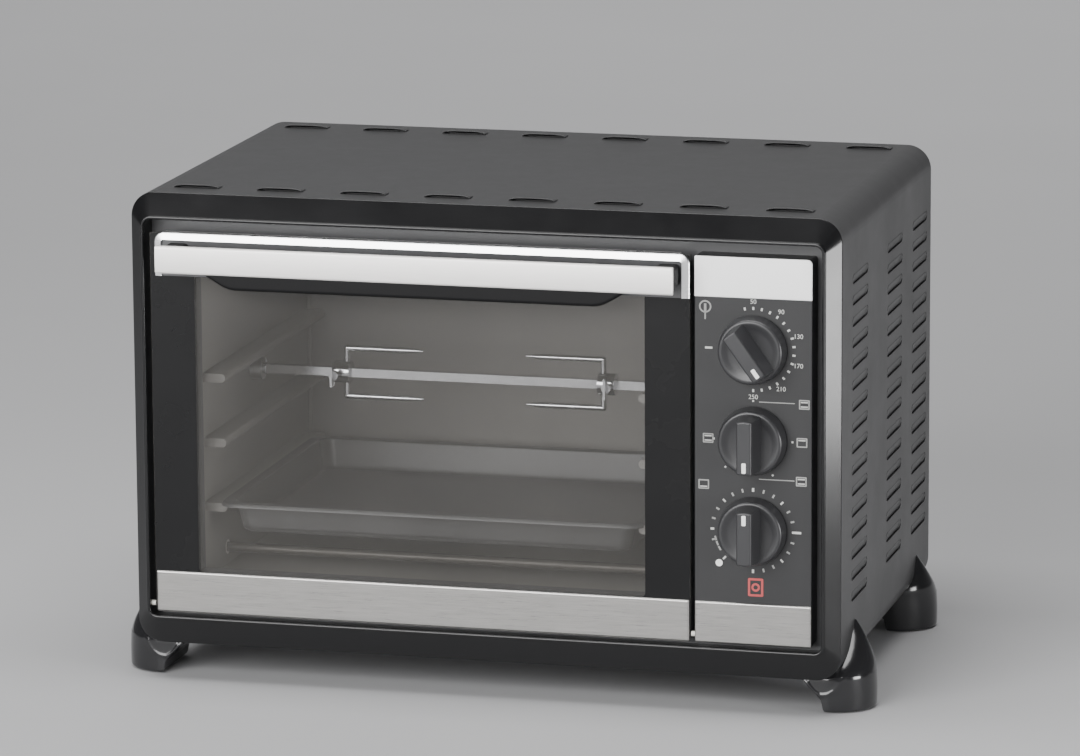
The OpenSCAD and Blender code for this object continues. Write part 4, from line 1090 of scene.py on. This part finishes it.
@dataclass
class Prints:
    """Marks printed on the panel around the three knobs, as thin raised shapes.

    Angles go clockwise from twelve o'clock, in degrees. Places are X and Z from the
    middle of their knob, and a ring's pair is its outer and its inner radius.
    """

    depth: float = 0.12 * MM
    digit_height: float = 3 * MM
    digit_radius: float = 32 * MM
    font_ratio: float = 1.45
    temperatures: tuple[str, ...] = ("50", "90", "130", "170", "210", "250")
    temperature_step: float = 36.0
    off_dash: Bar = Bar(27.6 * MM, 32.6 * MM, 1.4 * MM)
    temperature_tick: Bar = Bar(26.6 * MM, 28.6 * MM, 1.3 * MM)
    thermometer: Pair = (-32.5 * MM, 26.6 * MM)
    thermometer_lift: float = 1 * MM
    thermometer_ring: Pair = (4.2 * MM, 3.2 * MM)
    thermometer_bars: tuple[Bar, ...] = (Bar(-3 * MM, 2.4 * MM, 1.6 * MM), Bar(3 * MM, 7.5 * MM, 1 * MM))
    heat_marks: tuple[HeatMark, ...] = (
        HeatMark(-90, Heat.BOTH, (-30.5 * MM, 0.2 * MM)),
        HeatMark(-135, Heat.LOWER, (-33.5 * MM, -31.2 * MM)),
        HeatMark(0, Heat.BOTH, (34.5 * MM, 25.6 * MM)),
        HeatMark(90, Heat.UPPER, (33 * MM, -0.1 * MM)),
        HeatMark(150, Heat.BOTH, (32.6 * MM, -26.4 * MM)))
    heat_half: Pair = (3.6 * MM, 3.2 * MM)
    heat_line: float = 0.8 * MM
    heat_bar: Pair = (4.8 * MM, 0.7 * MM)
    heat_spacing: float = 1.5 * MM
    function_tick: Bar = Bar(26 * MM, 27.2 * MM, 1.2 * MM)
    leader: Pair = (24 * MM, 0.6 * MM)
    leader_starts: tuple[Pair, ...] = ((4 * MM, 25.8 * MM), (4 * MM, -26.4 * MM))
    minute_tick: Bar = Bar(26.4 * MM, 28.9 * MM, 1.2 * MM)
    quarter_tick: Bar = Bar(26.4 * MM, 28.9 * MM, 1.5 * MM)
    long_tick: Bar = Bar(26.4 * MM, 32.6 * MM, 1.5 * MM)
    long_angle: int = 90
    off_angle: float = -135.0
    off_reach: float = 32.6 * MM
    off_radius: float = 2.4 * MM
    off_tick: Bar = Bar(26.1 * MM, 28.8 * MM, 1.2 * MM)
    stay_on: Bar = Bar(25.6 * MM, 26.8 * MM, 3 * MM)
    stay_on_angles: Triple = (-120, -112, -104)
    red_mark: Pair = (1.8 * MM, -38.6 * MM)
    red_half: Pair = (5.2 * MM, 6.2 * MM)
    red_line: float = 1.5 * MM
    red_ring: Pair = (2.9 * MM, 1.5 * MM)

    def plane(self) -> float:
        """Depth of the panel's painted face."""
        return Box.of("control_panel").low[1] + ControlPanel.face_inset

    def outward(self, angle: float) -> Array:
        """Direction of an angle in X and Z: (sin, cos)."""
        return np.array([math.sin(math.radians(angle)), math.cos(math.radians(angle))])

    def add_bar(self, skin: Skin, knob: Array, angle: float, bar: Bar) -> None:
        """Adds a radial bar to a skin.

        Args:
            skin: The skin to add to.
            knob: Middle of the knob in X and Z.
            angle: The bar's angle.
            bar: The bar's sizes.
        """
        out = self.outward(angle)
        across = np.array([out[1], -out[0]]) * bar.width / 2
        ring = knob + np.array([out * bar.start - across, out * bar.start + across,
                                out * bar.end + across, out * bar.end - across])
        skin.loft(np.stack([at_y(ring, self.plane() + side * self.depth) for side in (-1, 1)]))

    def add_block(self, skin: Skin, low: Array, size: Pair) -> None:
        """Adds a rectangle filled with print to a skin.

        Args:
            skin: The skin to add to.
            low: The rectangle's low corner in X and Z.
            size: Its width and height.
        """
        y = self.plane()
        skin.slab(np.array([low[0], y - self.depth, low[1]]),
                  np.array([low[0] + size[0], y + self.depth, low[1] + size[1]]))

    def add_disc(self, skin: Skin, place: Array, radius: float, hole: float = SHARP / 2) -> None:
        """Adds a disc, or a ring where it has a hole, to a skin.

        Args:
            skin: The skin to add to.
            place: Its middle in X and Z.
            radius: Outer radius.
            hole: Inner radius.
        """
        profile = np.array([[hole, self.depth], [hole, -self.depth],
                            [radius, -self.depth], [radius, self.depth]])
        middle = np.array([place[0], self.plane(), place[1]])
        skin.grid(middle + lathe(profile, 24), True, True)

    def add_frame(self, skin: Skin, middle: Array, half: Pair, line: float) -> None:
        """Adds the outline of a rectangle to a skin.

        Args:
            skin: The skin to add to.
            middle: Its middle in X and Z.
            half: Half of its width and height.
            line: Width of the line, inwards.
        """
        low, high = middle - np.array(half), middle + np.array(half)
        outer = corner_ring(tuple(low), tuple(high), (line * 0.6,) * 4, 3)
        inner = corner_ring(tuple(low + line), tuple(high - line), (SHARP,) * 4, 3)
        front, back = self.plane() - self.depth, self.plane() + self.depth
        rings = [at_y(outer, front), at_y(inner, front), at_y(inner, back), at_y(outer, back)]
        skin.grid(np.stack(rings), True, True)

    def add_number(self, skin: Skin, text: str, place: Array) -> None:
        """Adds a number to a skin, made a mesh before it is placed.

        Args:
            skin: The skin to add to.
            text: The number.
            place: Its middle in X and Z.
        """
        curve = bpy.data.curves.new("digits", "FONT")
        curve.body = text
        curve.size = self.digit_height * self.font_ratio
        curve.align_x = "CENTER"
        curve.align_y = "CENTER"
        curve.extrude = self.depth
        holder = bpy.data.objects.new("digits", curve)
        mesh = bpy.data.meshes.new_from_object(holder)
        flat = np.zeros(len(mesh.vertices) * 3)
        mesh.vertices.foreach_get("co", flat)
        flat = flat.reshape(-1, 3)
        x, y, z = place[0] + flat[:, 0], self.plane() - flat[:, 2], place[1] + flat[:, 1]
        first = skin.put(np.stack([x, y, z], 1))
        skin.faces += [[first + i for i in polygon.vertices] for polygon in mesh.polygons]
        bpy.data.objects.remove(holder)
        bpy.data.curves.remove(curve)
        bpy.data.meshes.remove(mesh)

    def build_temperature(self, skin: Skin, pale: Skin, knob: Array) -> None:
        """Adds the temperature scale: a dash for off, ticks, numbers and a thermometer.

        Args:
            skin: The white marks.
            pale: The pale marks.
            knob: Middle of the knob in X and Z.
        """
        self.add_bar(skin, knob, -90, self.off_dash)
        for angle in range(-12, 181, 12):
            self.add_bar(skin, knob, angle, self.temperature_tick)
        for step, text in enumerate(self.temperatures):
            out = self.outward(step * self.temperature_step)
            self.add_number(skin, text, knob + out * self.digit_radius)
        mark = knob + np.array(self.thermometer)
        self.add_disc(pale, mark + np.array([0, self.thermometer_lift]), *self.thermometer_ring)
        for bar in self.thermometer_bars:
            self.add_bar(pale, mark, 180, bar)

    def build_function(self, skin: Skin, pale: Skin, knob: Array) -> None:
        """Adds the function scale: five positions with small generic heat marks.

        A mark is a frame with a bar for each of its heats. Two marks have a leader line.

        Args:
            skin: The white marks.
            pale: The pale marks.
            knob: Middle of the knob in X and Z.
        """
        for mark in self.heat_marks:
            place = knob + np.array(mark.place)
            self.add_frame(pale, place, self.heat_half, self.heat_line)
            for row in mark.heat.value:
                corner = np.array([0, row * self.heat_spacing]) - np.array(self.heat_bar) / 2
                self.add_block(skin, place + corner, self.heat_bar)
            self.add_bar(skin, knob, mark.angle, self.function_tick)
        for start in self.leader_starts:
            self.add_block(pale, knob + np.array(start), self.leader)

    def build_timer(self, skin: Skin, pale: Skin, knob: Array) -> None:
        """Adds the timer scale: an off dot, a stay-on wedge, and ticks with a long one.

        Args:
            skin: The white marks.
            pale: The pale marks.
            knob: Middle of the knob in X and Z.
        """
        for angle in range(-105, 181, 15):
            tick = self.quarter_tick if angle % 90 == 0 else self.minute_tick
            if angle == self.long_angle:
                tick = self.long_tick
            self.add_bar(skin if angle % 45 == 0 else pale, knob, angle, tick)
        bright = Skin()
        self.add_disc(bright, knob + self.outward(self.off_angle) * self.off_reach, self.off_radius)
        bright.build("panel_mark_off", PRINT_BRIGHT, "housing", closed=False)
        self.add_bar(skin, knob, self.off_angle, self.off_tick)
        for angle in self.stay_on_angles:
            self.add_bar(pale, knob, angle, self.stay_on)

    def build_red_mark(self, red: Skin, knob: Array) -> None:
        """Adds the red mark under the timer: a ring in a frame.

        Args:
            red: The red marks.
            knob: Middle of the timer's knob in X and Z.
        """
        place = knob + np.array(self.red_mark)
        self.add_frame(red, place, self.red_half, self.red_line)
        self.add_disc(red, place, *self.red_ring)

    def build(self) -> None:
        """Makes the white, pale and red prints."""
        skin, pale, red = Skin(), Skin(), Skin()
        knobs = {node: Box.of(node).middle[[0, 2]]
                 for node in ("temperature_knob", "function_knob", "timer_knob")}
        self.build_temperature(skin, pale, knobs["temperature_knob"])
        self.build_function(skin, pale, knobs["function_knob"])
        self.build_timer(skin, pale, knobs["timer_knob"])
        self.build_red_mark(red, knobs["timer_knob"])
        skin.build("panel_marks_white", PRINT_WHITE, "housing", closed=False)
        pale.build("panel_marks_pale", PRINT_PALE, "housing", closed=False)
        red.build("panel_mark_red", PRINT_RED, "housing", closed=False)


@dataclass
class Knob:
    """A rotary knob: a round dished skirt with a grip bar across it and a white pointer."""

    node: str
    body: str
    angle: float
    radius: float = 23 * MM
    skirt: float = 11 * MM
    front: float = 28 * MM
    gap: float = 1 * MM
    lean: float = 1.2 * MM
    round_edge: float = 2 * MM
    dish: float = 1.6 * MM
    bar_width: float = 10 * MM
    bar_flare: float = 2 * MM
    bar_length: float = 36 * MM
    bar_lean: float = 1.6 * MM
    bar_edge: float = 1.1 * MM
    base: float = 1.6 * MM
    rim: float = 1.2 * MM
    pointer_low: Pair = (-1.4 * MM, 9.5 * MM)
    pointer_high: Pair = (1.4 * MM, 16.4 * MM)
    pointer_corner: float = 0.7 * MM
    pointer_sink: float = 0.4 * MM
    pointer_rise: float = 0.12 * MM

    def skirt_profile(self) -> Array:
        """The skirt's profile: a leaning wall, a round shoulder, a flat rim and a dished face.

        The face is sunk by dish times sqrt(1 - s^2), where s is the share of the way
        from the middle to the rim.

        Returns:
            Radius and height of each point.
        """
        t = np.linspace(0, QUARTER, 7)
        top = self.radius - self.lean
        shoulder = np.stack([top - self.round_edge * (1 - np.cos(t)),
                             self.skirt - self.round_edge * (1 - np.sin(t))], 1)
        nearly_closed = 0.002
        share = np.linspace(1, nearly_closed, 9)
        dish = np.stack([(top - self.round_edge - self.rim) * share,
                         self.skirt - self.dish * np.sqrt(1 - share ** 2)], 1)
        wall = np.array([[SHARP, self.gap], [self.radius, self.gap], [self.radius, self.gap + self.base]])
        return np.concatenate([wall, shoulder, dish])

    def bar_ring(self, height: float, inset: float) -> Array:
        """One level of the grip bar: straight sides between two arcs of the bar's end circle.

        Args:
            height: Height above the panel.
            inset: Amount that the level is moved in.

        Returns:
            Points across and along the bar, with the height between them.
        """
        share = (height - self.skirt) / (self.front - self.skirt)
        half = self.bar_width / 2 + self.bar_flare * (1 - share) - inset
        reach = self.bar_length / 2 + self.bar_lean * (1 - share) - inset
        start = math.acos(min(half / reach, 1.0))
        t = np.linspace(start, math.pi - start, 13)
        arc = np.stack([reach * np.cos(t), reach * np.sin(t)], 1)
        return at_y(np.concatenate([arc, -arc]), height)

    def bar(self) -> Array:
        """Levels of the grip bar, from inside the skirt to its rounded front.

        The front edge moves in by edge (1 - cos a) and forward by edge sin a.

        Returns:
            A grid of rings.
        """
        heights = [self.skirt - self.dish - 1 * MM, self.skirt, self.skirt + 6 * MM, self.front - 3 * MM]
        rings = [self.bar_ring(height, 0.0) for height in heights]
        for a in np.linspace(0, QUARTER, 5):
            height = self.front - self.bar_edge * (1 - math.sin(a))
            rings.append(self.bar_ring(height, self.bar_edge * (1 - math.cos(a))))
        return np.stack(rings)

    def place(self, points: Array) -> Array:
        """Turns points by the pointer's angle and sets them on the panel.

        Args:
            points: Places across, heights over the panel and places along the pointer.

        Returns:
            The points in the oven's frame.
        """
        a = math.radians(self.angle)
        middle, face = Box.of(self.node).middle, Box.of("control_panel").low[1]
        across, height, along = points[..., 0], points[..., 1], points[..., 2]
        x = middle[0] + across * math.cos(a) + along * math.sin(a)
        z = middle[2] - across * math.sin(a) + along * math.cos(a)
        return np.stack([x, face - height, z], -1)

    def build(self) -> None:
        """Makes the knob and its pointer."""
        skin = Skin()
        skin.loft(self.place(lathe(self.skirt_profile(), 96)))
        skin.loft(self.place(self.bar()))
        skin.build(self.node + "_shell", KNOB, self.body, (self.node,), 38)
        ring = corner_ring(self.pointer_low, self.pointer_high, (self.pointer_corner,) * 4, 4)
        levels = [at_y(ring, height)
                  for height in (self.front - self.pointer_sink, self.front + self.pointer_rise)]
        Skin().loft(self.place(np.stack(levels))).build(self.node + "_pointer", POINTER, self.body)


# ---- door ----


@dataclass
class Door:
    """The glass door: printed border, brushed strip, bright trim and bar handle."""

    border: float = 31 * MM
    window_top: float = 23 * MM
    window_bottom: float = 27.4 * MM
    strip_edge: float = 1.3 * MM
    trim_width: float = 5.3 * MM
    trim_radius: float = 7 * MM
    trim_edge: float = 1.3 * MM
    trim_toe: float = 0.4 * MM
    trim_back: float = 0.3 * MM
    trim_tilt: float = math.radians(15)
    post: float = 16 * MM
    post_gap: float = 0.5 * MM
    post_inset: float = 2 * MM
    post_overlap: float = 3 * MM
    post_corner: float = 2.5 * MM
    grip_depth: float = 11 * MM
    grip_rise: float = 1 * MM
    belly_in: float = 10 * MM
    belly_ramp: float = 28 * MM
    grip_edge: float = 2.6 * MM
    face_edge: float = 1.4 * MM
    face_crown: float = 0.3 * MM
    face_end: float = 0.35 * MM
    print_half: float = 0.05 * MM
    print_inset: float = 0.4 * MM
    print_corner: float = 1 * MM
    window_corner: float = 3 * MM
    strip_lead: float = 0.3 * MM
    strip_corner: float = 0.8 * MM
    strip_sheet: float = 0.9 * MM

    def build_print(self) -> None:
        """Makes the black border printed on the front of the glass, around the window."""
        glass = Box.of("door_glass")
        inset = self.print_inset
        outer = corner_ring((glass.low[0] + inset, glass.low[2] + inset),
                            (glass.high[0] - inset, glass.high[2] - inset), (self.print_corner,) * 4, 4)
        inner = corner_ring((glass.low[0] + self.border, glass.low[2] + self.window_bottom),
                            (glass.high[0] - self.border, glass.high[2] - self.window_top),
                            (self.window_corner,) * 4, 4)
        front, back = glass.low[1] - self.print_half, glass.low[1] + self.print_half
        rings = [at_y(outer, front), at_y(inner, front), at_y(inner, back), at_y(outer, back)]
        Skin().grid(np.stack(rings), True, True).build("glass_border_print", PRINT_BLACK, "door")

    def build_strip(self) -> None:
        """Makes the brushed strip under the window, with round edges and a folded lower flange."""
        box = Box.of("door_bottom_strip")
        front = box.low[1]
        rings = pillow(*box.front, front - self.strip_lead, front + 1 * MM, self.strip_edge,
                       (self.strip_corner,) * 4)
        skin = Skin().loft(rings)
        skin.slab(np.array([box.low[0] + 1 * MM, front + 0.5 * MM, box.low[2]]),
                  np.array([box.high[0] - 1 * MM, box.high[1], box.low[2] + self.strip_sheet]))
        skin.build("door_strip", STEEL, "door", ("door_bottom_strip",))

    def trim_path(self, box: Box) -> Array:
        """The trim's middle line: up the left side, across the top and down the right side.

        Args:
            box: The trim's box.

        Returns:
            X and Z of each point, and X and Z of its inward direction.
        """
        inset = self.trim_width / 2
        x0, x1, z1 = box.low[0] + inset, box.high[0] - inset, box.high[2] - inset
        radius = self.trim_radius - inset
        t = np.linspace(0, QUARTER, 9)
        left = np.stack([x0 + radius - radius * np.cos(t), z1 - radius + radius * np.sin(t)], 1)
        right = np.stack([x1 - radius + radius * np.sin(t), z1 - radius + radius * np.cos(t)], 1)
        inward_left = np.stack([np.cos(t), -np.sin(t)], 1)
        inward_right = np.stack([-np.sin(t), -np.cos(t)], 1)
        start = np.array([[x0, box.low[2], 1.0, 0.0]])
        end = np.array([[x1, box.low[2], -1.0, 0.0]])
        return np.concatenate([start, np.hstack([left, inward_left]), np.hstack([right, inward_right]), end])

    def build_trim(self) -> None:
        """Makes the bright trim: a section carried along its path.

        The section has a round outer edge, a face that comes forward to the inner
        side as across times tan(tilt), and a small round inner edge.
        """
        box = Box.of("door_top_trim")
        path = self.trim_path(box)
        half, edge, toe = self.trim_width / 2, self.trim_edge, self.trim_toe
        t = np.linspace(0, QUARTER - self.trim_tilt, 9)
        w = np.linspace(0, QUARTER, 4)[1:]
        start = edge * (1 - np.cos(t[-1]))
        face = self.trim_width - toe - start
        height = edge * np.sin(t[-1]) + face * math.tan(self.trim_tilt)
        rise = box.low[1] + height
        back = rise + self.trim_back
        across = np.concatenate([[-half], -half + edge * (1 - np.cos(t)),
                                 half - toe + toe * np.sin(w), [half]])
        depth = np.concatenate([[back], rise - edge * np.sin(t),
                                rise - height + toe * (1 - np.cos(w)), [back]])
        x = path[:, :1] + path[:, 2:3] * across
        z = path[:, 1:2] + path[:, 3:4] * across
        rings = np.stack([x, np.broadcast_to(depth, x.shape), z], 2)
        skin = Skin().loft(rings)
        flange_low = np.array([box.low[0] + self.trim_radius, rise, box.high[2] - 1 * MM])
        flange_high = np.array([box.high[0] - self.trim_radius, box.high[1], box.high[2] - 0.1 * MM])
        skin.slab(flange_low, flange_high)
        skin.build("door_trim_line", CHROME, "door", ("door_top_trim",), 50)

    def grip_low(self, x: Array, box: Box, top: float) -> Array:
        """Lower edge of the grip: level at the posts, easing down to the belly by a cosine.

        Args:
            x: Places along the grip.
            box: The grip's box.
            top: Height of the edge at the posts.

        Returns:
            A height for each place.
        """
        start = box.low[0] + self.post + self.belly_in
        end = box.high[0] - self.post - self.belly_in
        share = np.clip(np.minimum(x - start, end - x) / self.belly_ramp, 0, 1)
        return top - (top - box.low[2]) * (1 - np.cos(share * math.pi)) / 2

    def build_grip(self) -> None:
        """Makes the dark grip with its belly, and the two posts behind it."""
        box, face = Box.of("handle_grip"), Box.of("handle_face")
        back = box.low[1] + self.grip_depth
        level = face.low[2] + self.grip_rise
        e = self.grip_edge
        t = np.linspace(0, QUARTER, 5)
        round_in, round_along = e * (1 - np.sin(t)), e * (1 - np.cos(t))
        middle = np.linspace(box.low[0] + e, box.high[0] - e, 90)[1:-1]
        x = np.concatenate([box.low[0] + round_along, middle, box.high[0] - round_along[::-1]])
        inset = np.concatenate([round_in, np.zeros(len(middle)), round_in[::-1]])
        low = self.grip_low(x, box, level)
        rings = []
        for px, d, z0 in zip(x, inset, low):
            ring = corner_ring((box.low[1] + d, z0 + d), (back - d, box.high[2] - d), (e,) * 4, 5)
            rings.append(at_x(ring, px))
        skin = Skin().loft(np.stack(rings))
        for start in (box.low[0] + self.post_gap, box.high[0] - self.post + self.post_gap):
            end = start + self.post - 3 * self.post_gap
            ring = corner_ring((start, face.low[2] + self.post_inset),
                               (end, face.high[2] - self.post_inset), (self.post_corner,) * 4, 5)
            skin.loft(np.stack([at_y(ring, y) for y in (back - self.post_overlap, box.high[1])]))
        skin.build("handle_grip_shell", DARK, "door", ("handle_grip",), 40)

    def build_face(self) -> None:
        """Makes the handle's brushed face: a flat bar with round long edges and square ends. Its near-white
        colour is a painted highlight.

        Across the face the depth follows crown times the square of the share from
        its middle line.
        """
        box = Box.of("handle_face")
        low, high, e = box.low, box.high, self.face_edge
        share = np.linspace(-1, 1, 13)
        t = np.linspace(0, QUARTER, 6)
        z = np.concatenate([[low[2]], low[2] + e * (1 - np.cos(t)),
                            box.middle[2] + share * (box.size[2] / 2 - e),
                            high[2] - e * (1 - np.cos(t[::-1])), [high[2]]])
        edge = low[1] + self.face_crown
        y = np.concatenate([[high[1]], edge + e * (1 - np.sin(t)), low[1] + self.face_crown * share ** 2,
                            edge + e * (1 - np.sin(t[::-1])), [high[1]]])
        middle = box.middle[1:]
        section = np.stack([y, z], 1)
        rings = []
        end = self.face_end
        for x, shrink in ((low[0], end), (low[0] + end, 0.0), (high[0] - end, 0.0), (high[0], end)):
            scale = 1 - 2 * shrink / box.size[1:]
            rings.append(at_x(middle + (section - middle) * scale, x))
        Skin().loft(np.stack(rings)).build("handle_bar_face", HANDLE, "door", ("handle_face",))

    def build(self) -> None:
        """Makes all the door's pieces."""
        self.build_print()
        self.build_strip()
        self.build_trim()
        self.build_grip()
        self.build_face()


# ---- cavity ----


@dataclass
class Tray:
    """The baking tray: a pan with sloping walls, round corners and a rolled rim."""

    rim: float = 9 * MM
    wall: float = 1 * MM
    slope: float = 3 * MM
    bend: float = 4 * MM
    roll: float = 1.2 * MM
    roll_drop: float = 1.6 * MM
    outer_corner: float = 12 * MM
    least_corner: float = 2 * MM
    floor_ring: float = 40 * MM
    floor_strip: float = 6 * MM

    def surface(self, box: Box, lift: float) -> Array:
        """Rings of one side of the sheet, from the rim's edge to the middle of the floor.

        The rim bends down and the wall bends into the floor on quarter circles, and
        a ring's corner radius falls by a quarter of its inset.

        Args:
            box: The tray's box.
            lift: Height of this side above the sheet's lower side.

        Returns:
            A grid of rings.
        """
        top, floor = box.high[2] - self.wall + lift, box.low[2] + lift
        t = np.linspace(0, QUARTER, 5)
        down = self.bend - lift
        inset = [0.0, self.roll]
        height = [top - self.roll_drop, top]
        inset += list(self.rim + down * (np.sin(t) - 1) * 0.5)
        height += list(top - down * 0.5 * (1 - np.cos(t)))
        inset += list(self.rim + self.slope + down * (1 - np.cos(t)))
        height += list(floor + down * (1 - np.sin(t)))
        inset += [self.rim + self.slope + self.floor_ring, box.size[1] / 2 - self.floor_strip]
        height += [floor, floor]
        rings = []
        for d, z in zip(inset, height):
            radius = max(self.outer_corner - d / 4, self.least_corner)
            ring = corner_ring((box.low[0] + d, box.low[1] + d), (box.high[0] - d, box.high[1] - d),
                               (radius,) * 4, 6)
            rings.append(at_z(ring, z))
        return np.stack(rings)

    def build(self) -> None:
        """Makes the tray as an upper and a lower side joined at the rim."""
        box = Box.of("baking_tray")
        upper, lower = self.surface(box, self.wall), self.surface(box, 0.0)
        skin = Skin().grid(np.concatenate([upper[::-1], lower]), close_columns=True)
        skin.cap(upper[-1]).cap(lower[-1])
        skin.build("baking_tray_shell", TRAY, "tray", ("baking_tray",), 50)


@dataclass
class CavitySeams:
    """Folded seams up the two rear corners of the cavity."""

    radius: float = 2.2 * MM
    sheet: float = 0.8 * MM
    end_gap: float = 1 * MM

    def build(self) -> None:
        """Makes one round bead in each rear corner, half sunk in the walls."""
        back = Box.of("cavity_back")
        left, right = Box.of("cavity_left_wall"), Box.of("cavity_right_wall")
        t = np.linspace(0, TURN, 16, endpoint=False)
        circle = self.radius * np.stack([np.cos(t), np.sin(t)], 1)
        skin = Skin()
        for x in (left.low[0] + self.sheet, right.high[0] - self.sheet):
            ring = np.array([x, back.low[1]]) + circle
            ends = (back.low[2] + self.end_gap, back.high[2] - self.end_gap)
            skin.loft(np.stack([at_z(ring, z) for z in ends]))
        skin.build("cavity_seams", CAVITY, "housing")


# ---- dressing and studio ----


def dress_frame() -> None:
    """Gives every node of the frame the finish of its material slot."""
    rows = {row["node"]: row["material_slot"] for row in frame["record"]["subparts"]}
    special = {"rear_panel": REAR, "base_pan": REAR}
    for name, node in frame["nodes"].items():
        finish = special.get(name, SLOT_FINISHES[rows[name]])
        node.data.materials.clear()
        node.data.materials.append(finish.material())


def stand(side: Array, up: Array, back: Array, place: Triple) -> Matrix:
    """Puts three directions and a place into one matrix.

    Args:
        side: Direction of the object's own X.
        up: Direction of its own Y.
        back: Direction of its own Z, against its view.
        place: Where it stands.

    Returns:
        The matrix that turns and places the object.
    """
    rows = np.column_stack([side, up, back, place])
    return Matrix([*rows.tolist(), [0, 0, 0, 1]])


@dataclass
class Studio:
    """The round floor with its curved wall, the soft lights, the world and the camera."""

    azimuth: float = 14.791
    elevation: float = 11.67
    roll: float = -0.345
    camera_at: Triple = (1.0604, -4.0018, 1.0476)
    lens: float = 204.19
    sensor: float = 36.0
    far: float = 50.0
    world_colour: Triple = (0.42, 0.42, 0.43)
    world_strength: float = 0.22
    floor_colour: Triple = (0.43, 0.43, 0.437)
    floor_roughness: float = 0.65
    floor_shade: float = 0.97
    floor_waves: float = 2.0
    floor_radius: float = 7.0
    curve_radius: float = 1.5
    wall_height: float = 5.0

    def build_floor(self) -> None:
        """Makes the round floor, which a quarter circle joins to a wall all the way around."""
        t = np.linspace(0, QUARTER, 17)
        wall = self.floor_radius + self.curve_radius
        curve = np.stack([self.floor_radius + self.curve_radius * np.sin(t),
                          self.curve_radius * (1 - np.cos(t))], 1)
        profile = np.concatenate([[[0.0, 0.0]], curve, [[wall, self.wall_height]]])
        upright = lathe(profile, 96)[..., [0, 2, 1]]
        skin = Skin().grid(upright, close_columns=True)
        mesh = bpy.data.meshes.new("floor")
        mesh.from_pydata(np.concatenate(skin.points).tolist(), [], skin.faces)
        mesh.polygons.foreach_set("use_smooth", np.ones(len(mesh.polygons), bool))
        mesh.materials.append(self.floor_material())
        floor = bpy.data.objects.new("floor", mesh)
        bpy.context.scene.collection.objects.link(floor)

    def floor_material(self) -> bpy.types.Material:
        """Makes the floor's matt grey, with slow patches a little darker.

        Returns:
            The material.
        """
        nodes = NodeTree("floor_matt")
        shader = nodes.add("BsdfPrincipled", Roughness=self.floor_roughness)
        share = nodes.span(nodes.noise((self.floor_waves,) * 3), NOISE_SPAN, (0.0, 1.0))
        low = tuple(c * self.floor_shade for c in self.floor_colour)
        nodes.join(nodes.blend(share, low, self.floor_colour), shader.inputs["Base Color"])
        nodes.join(shader.outputs["BSDF"], nodes.output.inputs["Surface"])
        return nodes.material

    def lamp(self, name: str, place: Triple, target: Triple, size: Pair, power: float,
             spread: float = 180.0) -> None:
        """Adds a rectangular soft light, which may face any way but straight up or down.

        Args:
            name: Its name.
            place: Where it stands.
            target: The point that it faces.
            size: Its width and height.
            power: Its power in watts.
            spread: Angle that its grid lets the light fan out to, in degrees.
        """
        data = bpy.data.lights.new(name, "AREA")
        data.spread = math.radians(spread)
        data.shape = "RECTANGLE"
        data.size, data.size_y = size
        data.energy = power
        lamp = bpy.data.objects.new(name, data)
        bpy.context.scene.collection.objects.link(lamp)
        back = np.array(place) - np.array(target)
        back = back / np.linalg.norm(back)
        side = np.cross([0.0, 0.0, 1.0], back)
        side = side / np.linalg.norm(side)
        lamp.matrix_world = stand(side, np.cross(back, side), back, place)

    def build_lights(self) -> None:
        """Sets the world's even grey light and the soft boxes around the oven."""
        world = bpy.data.worlds.new("studio")
        world.use_nodes = True
        background = world.node_tree.nodes["Background"]
        background.inputs["Color"].default_value = (*self.world_colour, 1.0)
        background.inputs["Strength"].default_value = self.world_strength
        bpy.context.scene.world = world
        self.lamp("overhead_box", (-0.1, -0.42, 2.5), (-0.1, -0.4, 0.2), (2.4, 1.0), 60.0)
        self.lamp("front_box", (-0.9, -2.9, 1.2), (0.0, -0.1, 0.2), (2.4, 2.0), 150.0)
        self.lamp("right_strip", (0.95, -0.38, 0.165), (0.2, -0.2, 0.165), (0.26, 0.27), 1.1, spread=80.0)
        self.lamp("back_box", (0.0, 3.2, 3.0), (0.0, 4.6, 0.0), (6.0, 2.4), 150.0)
        self.lamp("wall_box", (0.0, -4.4, 3.4), (0.0, -6.4, 0.4), (7.0, 2.0), 130.0)

    def build_camera(self) -> None:
        """Makes the camera: turned by its azimuth and elevation, then rolled about its view."""
        az, el, roll = (math.radians(v) for v in (self.azimuth, self.elevation, self.roll))
        back = np.array([math.sin(az) * math.cos(el), -math.cos(az) * math.cos(el), math.sin(el)])
        right = np.array([math.cos(az), math.sin(az), 0.0])
        up = np.cross(right, -back)
        side = right * math.cos(roll) + up * math.sin(roll)
        top = -right * math.sin(roll) + up * math.cos(roll)
        data = bpy.data.cameras.new("view")
        data.sensor_width = self.sensor
        data.lens = self.lens
        data.clip_end = self.far
        camera = bpy.data.objects.new("view", data)
        bpy.context.scene.collection.objects.link(camera)
        camera.matrix_world = stand(side, top, back, self.camera_at)
        bpy.context.scene.camera = camera

    def build(self) -> None:
        """Makes the floor, the lights and the camera."""
        self.build_camera()
        self.build_floor()
        self.build_lights()


def main() -> None:
    """Builds the studio and every sub-assembly in order."""
    logging.basicConfig(level=logging.INFO, format="%(message)s")
    Studio().build()
    dress_frame()
    Bezel().build()
    Louvres().build()
    for end in End:
        for side in Side:
            Foot(end, side).build()
    RearScrews().build()
    ControlPanel().build()
    Prints().build()
    for control, angle in (("temperature", 144.0), ("function", 180.0), ("timer", 0.0)):
        Knob(control + "_knob", control + "_control", angle).build()
    Door().build()
    Tray().build()
    CavitySeams().build()


if __name__ == "__main__":
    main()
